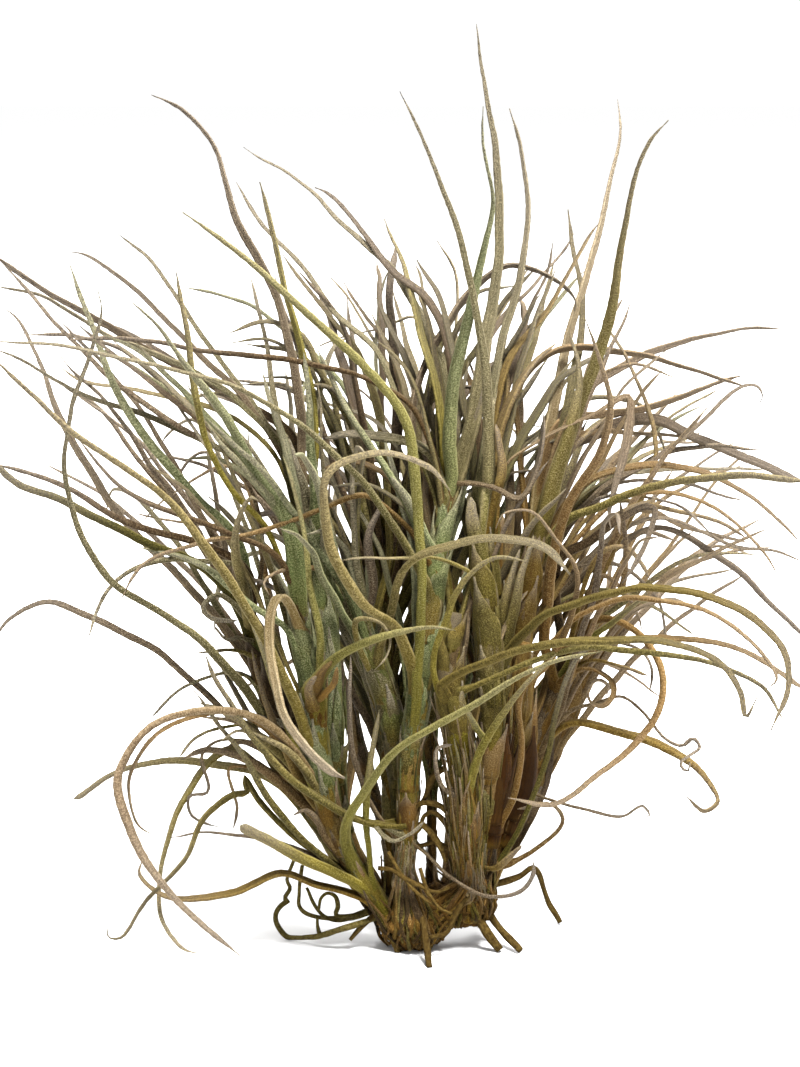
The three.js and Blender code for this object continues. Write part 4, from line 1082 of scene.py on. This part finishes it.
for leaf_name in LEAVES:
    leaf_piece(leaf_name)
more_leaf_pieces()


# Shoots: a ridged core in old nested sheaths, with loose dry fibres.
CORE_SIDES = 20
CORE_SHARE = 0.96
# Old sheaths start below the foot of a shoot. From a share of it on they have its own tone, up to another
# share where they end.
FOOT_DEPTH = 4.0
OLD_SHEATH_TOP = 0.26
OLD_SHEATH_END = 0.9


def add_tube(bunch, path, first_side, turn, radius, usual_radius, shift, kind, dry):
    """A round tube along a path. turn holds the angles of its corners, radius their distances from the path,
    in a row for each point of the path, and shift moves the grain of the surface."""
    sides, cross = frames_along(path, first_side)
    rings = (path[:, None, :] + cross[:, None, :] * (radius * np.cos(turn))[..., None]
             + sides[:, None, :] * (radius * np.sin(turn))[..., None])
    lengths = lengths_along(path)
    around = np.broadcast_to(turn * usual_radius, rings.shape[:2])
    bunch.add_rings(rings, lengths, 0.0, grain_of(around, lengths, shift), kind, dry)


def add_core(bunch, shoot, rng):
    """The ridged stem under the sheaths."""
    path = shoot.path[::2]
    lengths = lengths_along(path)
    turn = np.linspace(0, 2 * math.pi, CORE_SIDES, endpoint=False)
    ridge = sum(0.03 * np.sin(turn * k + rng.uniform(0, 6)) for k in (3, 5, 8))
    radius = shoot.radius(lengths / lengths[-1])[:, None] * (CORE_SHARE + ridge)
    radius = radius * (1 + 0.03 * np.sin(lengths / 2.3 + rng.uniform(0, 6)))[:, None]
    shift = rng.uniform(0, 50)
    first_side = np.array((0.0, -1.0, 0.1))
    add_tube(bunch, path, first_side, turn, radius, shoot.width / 2, shift, kind=0.3, dry=0.35)


def add_thread(bunch, points, radius, rng, sides=5, step=1.0, dry=0.0, taper=0.35, rough=0.0):
    """A thin wiry thread through the points."""
    path = smooth_path(points, step)
    if rough:
        path = wobble(path, rng, size=rough, reach=9)
    lengths = lengths_along(path)
    turn = np.linspace(0, 2 * math.pi, sides, endpoint=False)
    knots = 1 + 0.16 * np.sin(lengths / 1.7 + rng.uniform(0, 6)) * np.sin(lengths / 4.1)
    thick = radius * mixed(1.0, taper, smoothstep(lengths / lengths[-1], 0.3, 1.0)) * knots
    shift = rng.uniform(0, 50)
    first_side = np.array((0.3, -1.0, 0.2))
    add_tube(bunch, path, first_side, turn, thick[:, None], radius, shift, kind=rng.random(), dry=dry)


def add_old_sheath(bunch, shoot, at, azimuth, length, rng, dry, loose, girth=1.0):
    """An old sheath without its blade: it clasps the shoot and ends in a frayed, slightly open tip."""
    way = shoot.way(at)
    side = outward(azimuth)
    side = unit(side - way * (side @ way))
    points = [shoot.point(at + rise * length / shoot.length) + side * loose * bow
              for rise, bow in ((0, 0.0), (0.35, 0.0), (0.7, 0.25), (1.0, 1.0))]
    path = smooth_path(points, 0.8)
    lengths = lengths_along(path)
    share = lengths / lengths[-1]
    opening = smoothstep(share, 0.3, 1.0)
    radius = shoot.radius(at) * mixed(0.97, 1.14, smoothstep(share, 0, 0.8)) * girth + 0.1
    curl = mixed(SHEATH_CURL, 1.6, opening)
    half = radius * curl / 2 * mixed(1.0, 0.1, opening)
    add_strip(bunch, path, -side, half, curl, offset=radius, outer=OLD_SHEATH_THICKNESS,
              inner=OLD_SHEATH_THICKNESS, detail=8, rng=rng, kind=rng.random(), dry=dry)


def add_fibre(bunch, shoot, reach, bow, rng):
    """A dry fibre that stands a little off its shoot. reach is how far up the shoot fibres start."""
    at = rng.uniform(0.0, reach)
    turn = rng.uniform(0, 2 * math.pi)
    drift = rng.uniform(-0.22, 0.22)
    run = rng.uniform(0.08, 0.24)
    points = []
    for i in range(4):
        edge = shoot.radius(at) * 1.08 + rng.uniform(0.0, bow) * (0.3 + i / 3)
        points.append(shoot.point(at + run * i / 3) + outward(turn + drift * i) * edge)
    add_thread(bunch, points, rng.uniform(0.08, 0.2), rng, sides=4, step=1.2, dry=rng.uniform(0, 0.6))


def add_ribbon(bunch, shoot, at, turn, run, width, bow, rng):
    """A flat torn strip of an old sheath that runs up a shoot."""
    points = []
    drift = rng.uniform(-0.25, 0.25)
    for i in range(4):
        side = outward(turn + drift * i + rng.uniform(-0.16, 0.16))
        edge = shoot.radius(at) + 0.1 + bow * (i / 3) ** 1.5
        points.append(shoot.point(at + run / shoot.length * i / 3) + side * edge)
    path = smooth_path(points, 0.9)
    half = width / 2 * mixed(1.0, 0.2, np.linspace(0, 1, len(path)) ** 2)
    add_strip(bunch, path, unit(shoot.point(at) - points[0]), half, curl=0.9, offset=0.0,
              outer=RIBBON_THICKNESS, inner=RIBBON_THICKNESS, detail=4, rng=rng, kind=rng.random(),
              dry=rng.uniform(0, 0.5))


# Tones of the old sheaths round the foot of a shoot.
OLD_TONES = {
    "trunk_diagonal": ("silver", "olive", "moss"), "trunk_gold": ("straw", "bark", "olive"),
    "trunk_speckled": ("olive", "straw", "tan"), "trunk_tan": ("sage", "olive", "moss"),
    "shoot_middle": ("olive", "tan", "straw"), "shoot_mid_right": ("straw", "tan", "bark"),
    "shoot_left": ("olive", "tan", "yellow"), "shoot_diagonal": ("olive", "straw", "silver"),
    "shoot_speckled": ("bark", "straw", "dark"), "shoot_right": ("tan", "bark", "straw"),
    "shoot_outer_left": ("olive", "tan", "dark"), "shoot_outer_right": ("bark", "tan", "mauve"),
}
USUAL_OLD_TONES = ("dark", "bark", "tan")
# Dry fibres of a shoot: how many, up to which share of the shoot they start, and how far they bow out.
USUAL_FIBRES = (26, 0.6, 0.4)
FIBRES = {"shoot_mid_right": (90, 0.5, 1.1), "shoot_middle": (30, 0.4, 0.3), "trunk_tan": (60, 0.8, 0.6),
          "shoot_left": (30, 0.4, 0.4)}
# Ribbons of a shoot: tone, how many, from and to which share they start, lengths and how far they bow out.
RIBBONS = [
    ("shoot_mid_right", "straw", 46, -0.05, 0.36, (10, 24), (0.5, 1.9)),
    ("shoot_mid_right", "tan", 30, -0.05, 0.42, (8, 22), (0.5, 1.9)),
    ("shoot_mid_right", "yellow", 14, -0.02, 0.36, (8, 22), (0.5, 1.6)),
    ("shoot_middle", "straw", 12, -0.05, 0.3, (6, 14), (0.1, 0.7)),
    ("shoot_left", "olive", 16, -0.05, 0.3, (6, 16), (0.1, 0.9)),
    ("trunk_tan", "tan", 26, -0.05, 0.6, (8, 20), (0.2, 1.2)),
    ("shoot_outer_left", "olive", 16, -0.05, 0.4, (8, 18), (0.2, 1.2)),
    ("shoot_right", "bark", 20, -0.05, 0.3, (6, 16), (0.1, 1.2)),
    ("shoot_speckled", "bark", 14, -0.05, 0.25, (6, 14), (0.1, 0.9)),
    ("shoot_outer_right", "bark", 12, -0.05, 0.4, (6, 16), (0.1, 1.0)),
]


def old_sheath_pieces():
    """Dry sheaths round the foot of every shoot, shared out by tone."""
    bunches = {}
    rng = random.Random("old sheaths")
    for shoot in shoots.values():
        azimuth = rng.uniform(0, 2 * math.pi)
        height = -FOOT_DEPTH
        while height < (OLD_SHEATH_TOP + 0.1) * shoot.length:
            bunch = bunch_for(bunches, rng.choice(OLD_TONES.get(shoot.name, USUAL_OLD_TONES)))
            add_old_sheath(bunch, shoot, height / shoot.length, azimuth, length=rng.uniform(7, 13), rng=rng,
                           dry=rng.uniform(0.0, 0.5), loose=rng.uniform(0.05, 0.6))
            azimuth += 2.2 + rng.uniform(-0.6, 0.6)
            height += rng.uniform(1.2, 2.4)
    tone_pieces("old_sheaths", bunches, sheath_slot)


def ribbon_pieces():
    """Torn strips that run up the shoots, shared out by tone."""
    bunches = {}
    rng = random.Random("ribbons")
    for carrier, tone, count, low, high, runs, bows in RIBBONS:
        bunch = bunch_for(bunches, tone)
        for _ in range(count):
            add_ribbon(bunch, shoots[carrier], at=rng.uniform(low, high), turn=rng.uniform(0, 2 * math.pi),
                       run=rng.uniform(*runs), width=rng.uniform(0.4, 1.3), bow=rng.uniform(*bows), rng=rng)
    tone_pieces("ribbons", bunches, sheath_slot)


def shoot_piece(shoot, replaces):
    """A shoot's core, its old sheaths in two rows that come closer towards its top, and its fibres."""
    rng = random.Random(shoot.name)
    bunch = Bunch()
    add_core(bunch, shoot, rng)
    azimuth = rng.uniform(0, 2 * math.pi)
    height = OLD_SHEATH_TOP * shoot.length
    while height < shoot.length * OLD_SHEATH_END:
        close = 1 - 0.8 * height / shoot.length
        add_old_sheath(bunch, shoot, height / shoot.length, azimuth, length=rng.uniform(11, 17), rng=rng,
                       dry=rng.uniform(0.0, 0.4), loose=rng.uniform(0.05, 0.5) * close,
                       girth=mixed(0.85, 1.0, close))
        azimuth += math.pi + rng.uniform(-0.6, 0.6)
        height += rng.uniform(3.0, 5.5)
    count, reach, bow = FIBRES.get(shoot.name, USUAL_FIBRES)
    for _ in range(count):
        add_fibre(bunch, shoot, reach, bow, rng)
    piece_from(shoot.name + "_look", bunch, LEAF_MATERIALS[shoot.tone], sheath_slot(shoot.tone), replaces)


def chocolate_sheath_piece():
    """A broad dry sheath, dark as chocolate, round the lower part of the speckled shoot and its neighbour."""
    speckled, neighbour = shoots["shoot_speckled"], shoots["shoot_right"]
    rng = random.Random("chocolate")
    bunch = Bunch()
    for at, azimuth, loose in ((0.13, 0.7, 0.4), (0.17, 1.6, 0.7), (0.2, -0.5, 0.5), (0.22, 0.3, 0.6)):
        add_old_sheath(bunch, speckled, at, azimuth, length=19, rng=rng, dry=0.0, loose=loose, girth=1.4)
    for at, azimuth, loose in ((0.12, -0.8, 0.9), (0.16, -0.1, 0.7), (0.2, 0.5, 0.6)):
        add_old_sheath(bunch, neighbour, at, azimuth, length=19, rng=rng, dry=0.0, loose=loose, girth=1.3)
    for _ in range(60):
        add_ribbon(bunch, speckled, at=rng.uniform(0.12, 0.3), turn=rng.uniform(-1.2, 1.9),
                   run=rng.uniform(8, 18), width=rng.uniform(0.4, 1.2), bow=rng.uniform(0.3, 0.9), rng=rng)
    piece_from("sheath_chocolate", bunch, LEAF_MATERIALS["chocolate"], sheath_slot("chocolate"))


old_sheath_pieces()
ribbon_pieces()
for shoot_name, one_shoot in shoots.items():
    shoot_piece(one_shoot, [shoot_name] if shoot_name in SHOOTS else [])
chocolate_sheath_piece()


# Filling leaves: seeded leaves that rise from each shoot and arch out, so that the tuft is full from every
# side. They stay inside the box of the CAD, and in the front view inside the outline of the tuft.
BOX_MARGIN = 1.5
box_low = np.array(cad_box[0]) / MM + BOX_MARGIN
box_high = np.array(cad_box[1]) / MM - BOX_MARGIN
OUTLINE = [(20, 310), (90, 250), (190, 200), (300, 215), (400, 240), (490, 250), (600, 250), (680, 350),
           (770, 400), (780, 600), (690, 640), (600, 700), (550, 780), (500, 880), (350, 880), (290, 800),
           (220, 700), (130, 620), (20, 540)]
FILL_STEPS = 8
FEWEST_POINTS = 4

# Filling leaves of a shoot: how many, the middle azimuth and how far they fan out from it, tones, from and to
# which share of the shoot they start, lengths, bends and widths.
BACK = math.pi
SLIM, USUAL, BROAD = (0.9, 1.4), (1.1, 1.7), (1.3, 2.0)
FILLS = [
    ("shoot_back", 18, BACK, 1.7, ("mauve", "silver", "sage"), 0.3, 1.0, (55, 100), (0.4, 1.9), USUAL),
    ("shoot_back_right", 14, 2.4, 1.5, ("tan", "mauve", "olive"), 0.3, 1.0, (55, 100), (0.4, 1.9), USUAL),
    ("trunk_back_left", 11, 3.7, 1.3, ("mauve", "silver", "sage"), 0.35, 1.0, (65, 100), (0.4, 1.7), USUAL),
    ("trunk_back_far", 20, BACK, 1.7, ("mauve", "olive", "silver"), 0.25, 1.0, (45, 95), (0.4, 1.9), USUAL),
    ("trunk_left_deep", 8, 4.0, 1.1, ("sage", "silver", "mauve"), 0.45, 1.0, (70, 95), (0.3, 1.1), SLIM),
    ("trunk_right_deep", 9, 1.9, 1.1, ("tan", "mauve", "rose"), 0.35, 1.0, (55, 95), (0.3, 1.6), SLIM),
    ("trunk_deep", 56, BACK, 2.0, ("moss", "dark", "olive"), 0.25, 1.0, (40, 75), (0.0, 0.5), BROAD),
    ("trunk_diagonal", 8, 5.4, 1.2, ("silver", "sage", "sage"), 0.5, 1.0, (35, 60), (0.0, 0.5), USUAL),
    ("shoot_middle", 10, BACK, 1.3, ("sage", "sage", "olive"), 0.35, 1.0, (35, 65), (0.0, 0.4), USUAL),
    ("shoot_left", 3, 4.4, 1.2, ("silver", "khaki"), 0.4, 1.0, (55, 75), (0.1, 0.8), SLIM),
    ("shoot_right", 9, 2.2, 1.3, ("tan", "rose", "olive"), 0.4, 1.0, (45, 85), (0.1, 1.0), SLIM),
    ("shoot_outer_right", 5, 1.6, 1.2, ("mauve", "rose", "tan"), 0.4, 1.0, (50, 85), (0.2, 1.2), SLIM),
    ("shoot_outer_left", 3, 4.7, 1.2, ("mauve", "silver"), 0.5, 1.0, (60, 85), (0.2, 1.2), SLIM),
    ("shoot_diagonal", 12, BACK, 1.6, ("silver", "sage", "moss"), 0.4, 1.0, (40, 65), (0.0, 0.5), USUAL),
    ("shoot_speckled", 16, BACK, 1.6, ("bark", "moss", "straw"), 0.4, 1.0, (35, 65), (0.0, 0.5), BROAD),
    ("shoot_mid_right", 8, BACK, 1.6, ("olive", "dark", "straw"), 0.4, 1.0, (35, 60), (0.0, 0.4), USUAL),
]


def inside_outline(point):
    """Whether a point of the front view lies in the outline of the tuft."""
    inside = False
    for (x0, y0), (x1, y1) in zip(OUTLINE, OUTLINE[1:] + OUTLINE[:1]):
        if (y0 > point[1]) != (y1 > point[1]) and point[0] < x0 + (point[1] - y0) / (y1 - y0) * (x1 - x0):
            inside = not inside
    return inside


def arching_points(start, way, azimuth, length, lean, bend, rng):
    """Points of a leaf that starts along way and bends out towards azimuth, as far as its bounds."""
    out = outward(azimuth)
    sideways = np.array((out[1], -out[0], 0.0))
    drift = rng.uniform(-0.7, 0.7)
    hook = rng.choice((0.0, 0.0, 0.5, 1.2))
    points = []
    here = start
    for i in range(FILL_STEPS):
        share = (i + 0.5) / FILL_STEPS
        angle = lean + bend * share ** 1.4 + hook * max(0.0, share - 0.7) * 4
        ahead = unit(way * math.cos(angle) + out * math.sin(angle) + sideways * drift * share)
        here = here + ahead * length / FILL_STEPS
        if np.any(here < box_low) or np.any(here > box_high) or not inside_outline(sheet_point(here)):
            break
        points.append(here)
    return points


def add_filling_leaves(bunches, carrier, count, azimuth, fan, tones, low, high, lengths, bends, widths):
    """The filling leaves of one shoot."""
    shoot = shoots[carrier]
    part = PART_OF[carrier]
    rng = random.Random(f"fill {carrier} {count}")
    for _ in range(count):
        at = rng.uniform(low, high)
        turn = azimuth + rng.uniform(-fan, fan)
        points = arching_points(shoot.point(at), unit(shoot.way(at) + np.array((0, 0, 0.4))), turn,
                                length=rng.uniform(*lengths), lean=rng.uniform(0.05, 0.45),
                                bend=rng.uniform(*bends), rng=rng)
        if len(points) < FEWEST_POINTS:
            continue
        bunch = bunch_for(bunches, part, rng.choice(tones))
        # Painted light: a random share of the paleness of its part of the tuft.
        bunch.painted_pale_share = rng.uniform(0.2, 1.0) * PAINTED_PALENESS[part]
        add_leaf(bunch, shoot, at, rng.uniform(*widths), points, rng, sheath=5.0, detail=6, step=1.5,
                 dry=rng.uniform(0, 0.4), tip=0.55, rough=0.25)


def fill_pieces():
    bunches = {}
    for row in FILLS:
        add_filling_leaves(bunches, *row)
    tone_pieces("fill", bunches, blade_slot)


fill_pieces()


# Crown: the middle and half the size of each knuckle, and small nodules on them.
KNUCKLES = [
    ((0.6, 0.0, 4.6), (6.2, 6.2, 5.4)),
    ((6.6, 0.5, 7.4), (4.8, 4.8, 4.2)),
    ((11.4, 0.5, 9.0), (3.9, 4.6, 5.4)),
]
NODULES = 26
LUMP_RINGS = 10
LUMP_SIDES = 14
MELT_SIZE = 0.5


def crown_lumps():
    """The middle and half the size of every knuckle and nodule."""
    rng = random.Random("crown")
    lumps = [(np.array(middle), np.array(half)) for middle, half in KNUCKLES]
    for _ in range(NODULES):
        middle, half = rng.choice(lumps[:len(KNUCKLES)])
        way = unit(np.array([rng.gauss(0, 1) for _ in range(3)]))
        way[2] = abs(way[2]) * 0.8 - 0.2
        lumps.append((middle + way * half * 0.86, np.full(3, rng.uniform(1.0, 2.1))))
    return lumps


def add_lump(corners, faces, middle, half):
    """An egg shape, from its top to its bottom."""
    first = len(corners)
    for i in range(LUMP_RINGS + 1):
        polar = math.pi * i / LUMP_RINGS
        for j in range(LUMP_SIDES):
            turn = 2 * math.pi * j / LUMP_SIDES
            way = (math.sin(polar) * math.cos(turn), math.sin(polar) * math.sin(turn), math.cos(polar))
            corners.append(tuple((middle + half * way) * MM))
    for i in range(LUMP_RINGS):
        for j in range(LUMP_SIDES):
            a, b = first + i * LUMP_SIDES + j, first + i * LUMP_SIDES + (j + 1) % LUMP_SIDES
            faces.append((a, b, b + LUMP_SIDES, a + LUMP_SIDES))


def melted_lumps():
    """All lumps melted together into one mesh."""
    corners, faces = [], []
    for middle, half in crown_lumps():
        add_lump(corners, faces, middle, half)
    mesh = bpy.data.meshes.new("crown_lumps")
    mesh.from_pydata(corners, [], faces)
    raw = new_object("crown_lumps", mesh)
    remesh = raw.modifiers.new("melt", "REMESH")
    remesh.mode = "VOXEL"
    remesh.voxel_size = MELT_SIZE * MM
    melted = bpy.data.meshes.new_from_object(raw.evaluated_get(bpy.context.evaluated_depsgraph_get()))
    bpy.data.objects.remove(raw)
    return melted


def crown_piece():
    """Knuckles and nodules melted together, roughened, and flat where they rest."""
    mesh = melted_lumps()
    normals = [vertex.normal.copy() for vertex in mesh.vertices]
    for vertex, normal in zip(mesh.vertices, normals):
        spot = vertex.co / MM
        knobs = noise.fractal(spot * 0.55, 0.6, 2.2, 4) * 0.8
        fibres = noise.noise(spot * Vector((2.2, 2.2, 0.7))) * 0.35
        vertex.co += normal * (knobs + fibres) * MM
        vertex.co.z = max(vertex.co.z, 0.0)
    add_layer(mesh, "grain", [vertex.co / MM for vertex in mesh.vertices])
    add_layer(mesh, "kind", np.full(len(mesh.vertices), 0.3))
    piece_of_mesh("crown_look", mesh, CROWN_MATERIAL, ["crown"])


crown_piece()


# Strands of the crown: tone, how many broad ones, how many threads and their thickness.
STRANDS = [
    ("straw", 24, 24, (0.15, 0.35)),
    ("bark", 22, 28, (0.15, 0.5)),
    ("olive", 28, 34, (0.2, 0.4)),
    ("dark", 12, 26, (0.12, 0.4)),
    ("tan", 26, 24, (0.15, 0.4)),
]
STRAND_THICKNESS = 0.16
CROWN_HEART = np.array((4.0, 0.0, 5.0))
# Shoots that a strand may run up along.
STRAND_SHOOTS = ("shoot_left", "shoot_outer_left", "shoot_diagonal", "shoot_middle", "shoot_mid_right",
                 "shoot_speckled", "shoot_right", "shoot_outer_right", "trunk_tan", "shoot_back",
                 "shoot_back_right", "trunk_back_left", "trunk_back_far", "trunk_left_deep",
                 "trunk_right_deep")


def knuckle_point(knuckle, polar, azimuth, lift):
    """A point that stands off a knuckle by lift. polar is 0 at its top."""
    middle, half = np.array(knuckle[0]), np.array(knuckle[1])
    way = outward(azimuth) * math.sin(polar) + np.array((0.0, 0.0, math.cos(polar)))
    return middle + way * (half + lift)


def strand_points(rng, lift):
    """Points of a strand that starts low on a knuckle and runs up along the foot of a near shoot."""
    knuckle = rng.choice(KNUCKLES)
    azimuth = rng.gauss(0, 1.3)
    low = rng.uniform(1.5, 2.4)
    drift = rng.uniform(-0.7, 0.7)
    points = [knuckle_point(knuckle, low - 0.35 * i, azimuth + drift * i / 3, rng.uniform(0.0, lift))
              for i in range(3)]
    gaps = [(np.linalg.norm(shoots[name].point(0.02) - points[-1]) + rng.uniform(0, 4), name)
            for name in STRAND_SHOOTS]
    shoot = shoots[min(gaps)[1]]
    at = rng.uniform(0.03, 0.12)
    for share in (at, at + rng.uniform(0.02, 0.06)):
        points.append(shoot.point(share) + outward(azimuth) * (shoot.radius(share) + rng.uniform(0.0, lift)))
    return points


def add_broad_strand(bunch, rng):
    """A torn sheath that lies over the crown."""
    points = strand_points(rng, 0.5)
    path = smooth_path(points, 0.5)
    share = np.linspace(0, 1, len(path))
    half = rng.uniform(0.4, 1.1) * mixed(1.0, 0.15, share ** 2) * mixed(0.4, 1.0, smoothstep(share, 0, 0.2))
    add_strip(bunch, path, unit(CROWN_HEART - points[0]), half, curl=rng.uniform(0.9, 1.8), offset=0.0,
              outer=STRAND_THICKNESS, inner=STRAND_THICKNESS, detail=6, rng=rng, kind=rng.random(),
              dry=rng.uniform(0.1, 0.6))


def crown_strand_pieces():
    """Old torn sheaths and fibres that run over the crown and up to the shoots."""
    for tone, broad, threads, thickness in STRANDS:
        rng = random.Random("strands " + tone)
        bunch = Bunch()
        for _ in range(broad):
            add_broad_strand(bunch, rng)
        for _ in range(threads):
            points = strand_points(rng, 0.9)
            add_thread(bunch, points, rng.uniform(*thickness), rng, step=0.8, dry=0.4, rough=0.3)
        piece_from("crown_strands_" + tone, bunch, LEAF_MATERIALS[tone], sheath_slot(tone))


crown_strand_pieces()


# Roots that stand for the solids of the frame: width, depths and route.
ROOTS = {
    "root_front": (1.3, (-3, -6, -9.5, -12.2), [(410, 900), (421, 915), (426, 942), (430, 968)]),
    "root_stub_near": (1.6, (-1, -3, -4), [(474, 905), (484, 928), (500, 950)]),
    "root_stub_far": (1.4, (2, 0, -5), [(484, 905), (497, 925), (520, 950)]),
    "root_left_wire": (1.0, (-1, -4, 2, 6),
        [(385, 915), (345, 928), (310, 937), (286, 936), (276, 914), (288, 900)]),
    "root_right_wire": (1.1, (6, 10, 12, 11.5),
        [(482, 888), (518, 877), (534, 868), (546, 896), (560, 923)]),
    "root_back": (1.2, (6, 14, 20), [(425, 905), (432, 903), (440, 907)]),
}
# Wires at the lower left, and stubs and curled dry tips round the crown, each row as above. They are only in
# the looks.
WIRES = [
    (0.8, (2, 4), [(372, 912), (350, 918), (314, 916), (299, 906), (300, 885), (303, 865)]),
    (0.8, (1, 3), [(368, 910), (339, 920), (324, 916), (312, 900), (306, 888)]),
    (0.7, (0, 1), [(360, 915), (336, 915), (338, 906), (335, 896), (327, 893), (321, 898), (319, 911)]),
    (0.7, (0, 0), [(345, 928), (321, 935), (318, 928), (317, 916)]),
    (0.7, (5, 6, 6), [(287, 901), (285, 898), (290, 888), (287, 880), (292, 865), (296, 855)]),
]
MORE_ROOTS = [
    (0.9, (-2, -3), [(378, 912), (362, 926), (350, 940)]),
    (1.2, (-4, -4), [(395, 915), (395, 940), (398, 954)]),
    (1.0, (-4, -8), [(470, 885), (462, 902), (453, 920), (446, 933), (429, 938)]),
    (1.0, (-6, -3), [(446, 768), (438, 772), (430, 783), (426, 795), (416, 812)]),
    (0.9, (-6, -4), [(452, 818), (443, 808), (432, 803), (420, 804), (410, 812)]),
    (0.9, (-6, -4), [(455, 838), (443, 820), (433, 812), (424, 816), (420, 828), (412, 836)]),
    (1.0, (-5, -5), [(420, 822), (430, 832), (440, 846), (446, 862)]),
    (0.8, (-3, -5), [(404, 846), (420, 846), (436, 842), (452, 850)]),
    (0.7, (-6, -7), [(378, 868), (392, 870), (404, 878), (420, 886), (436, 892), (450, 888)]),
    (0.6, (-6, -7), [(388, 852), (400, 872), (418, 894), (438, 906)]),
    (0.6, (-6, -8), [(420, 868), (428, 892), (440, 908), (452, 914)]),
]


def root_pieces():
    """A piece for each root of the frame, one for all wires and one for all other roots."""
    for name, (width, depths, route) in ROOTS.items():
        bunch = Bunch()
        rng = random.Random(name)
        add_thread(bunch, placed_route(route, depths), width / 2 * 1.1, rng, sides=9, step=0.6, taper=0.85,
                   rough=0.12)
        material = WIRE_MATERIAL if name == "root_left_wire" else ROOT_MATERIAL
        piece_from(name + "_look", bunch, material, "root", [name])
    for name, rows, material in (("wires", WIRES, WIRE_MATERIAL), ("more_roots", MORE_ROOTS, ROOT_MATERIAL)):
        bunch = Bunch()
        rng = random.Random(name)
        for width, depths, route in rows:
            add_thread(bunch, placed_route(route, depths), width / 2 * 1.2, rng, sides=8, step=0.5, taper=0.7,
                       rough=0.15)
        piece_from(name, bunch, material, "root")


root_pieces()


# Stage: a pale floor and soft studio light. Places and sizes are in metres.
FLOOR_REACH = 30
LIGHT_TARGET = Vector((0, 0, 0.08))


def make_stage():
    """A floor that is paler farther out, so that little light comes back up from under the tuft."""
    n = Nodes("floor")
    measure = n.node("ShaderNodeVectorMath", operation="LENGTH")
    n.join(n.node("ShaderNodeTexCoord").outputs["Object"], measure.inputs[0])
    far = n.span(measure.outputs["Value"], 0.25, 1.6)
    n.shade(base_color=n.mix(far, (0.6, 0.6, 0.6, 1.0), (0.95, 0.95, 0.95, 1.0)), roughness=0.9,
            specular_ior_level=0.0)
    mesh = bpy.data.meshes.new("floor")
    corners = [(x * FLOOR_REACH, y * FLOOR_REACH, 0) for x, y in ((-1, -1), (1, -1), (1, 1), (-1, 1))]
    mesh.from_pydata(corners, [], [(0, 1, 2, 3)])
    mesh.materials.append(n.material)
    new_object("floor", mesh)


def make_light(name, spot, size, power):
    data = bpy.data.lights.new(name, "AREA")
    data.shape = "DISK"
    data.size = size
    data.energy = power
    light = new_object(name, data)
    light.location = spot
    aim(light, LIGHT_TARGET - Vector(spot))


def make_world(strength):
    world = bpy.data.worlds.new("studio")
    world.use_nodes = True
    background = world.node_tree.nodes["Background"]
    background.inputs["Color"].default_value = (1, 1, 1, 1)
    background.inputs["Strength"].default_value = strength
    bpy.context.scene.world = world


make_stage()
make_light("key", spot=(0.3, -0.55, 1.45), size=0.55, power=148)
make_light("back", spot=(0.35, 1.0, 1.2), size=0.7, power=52)
make_world(strength=1.05)
bpy.context.scene.view_settings.view_transform = "Standard"
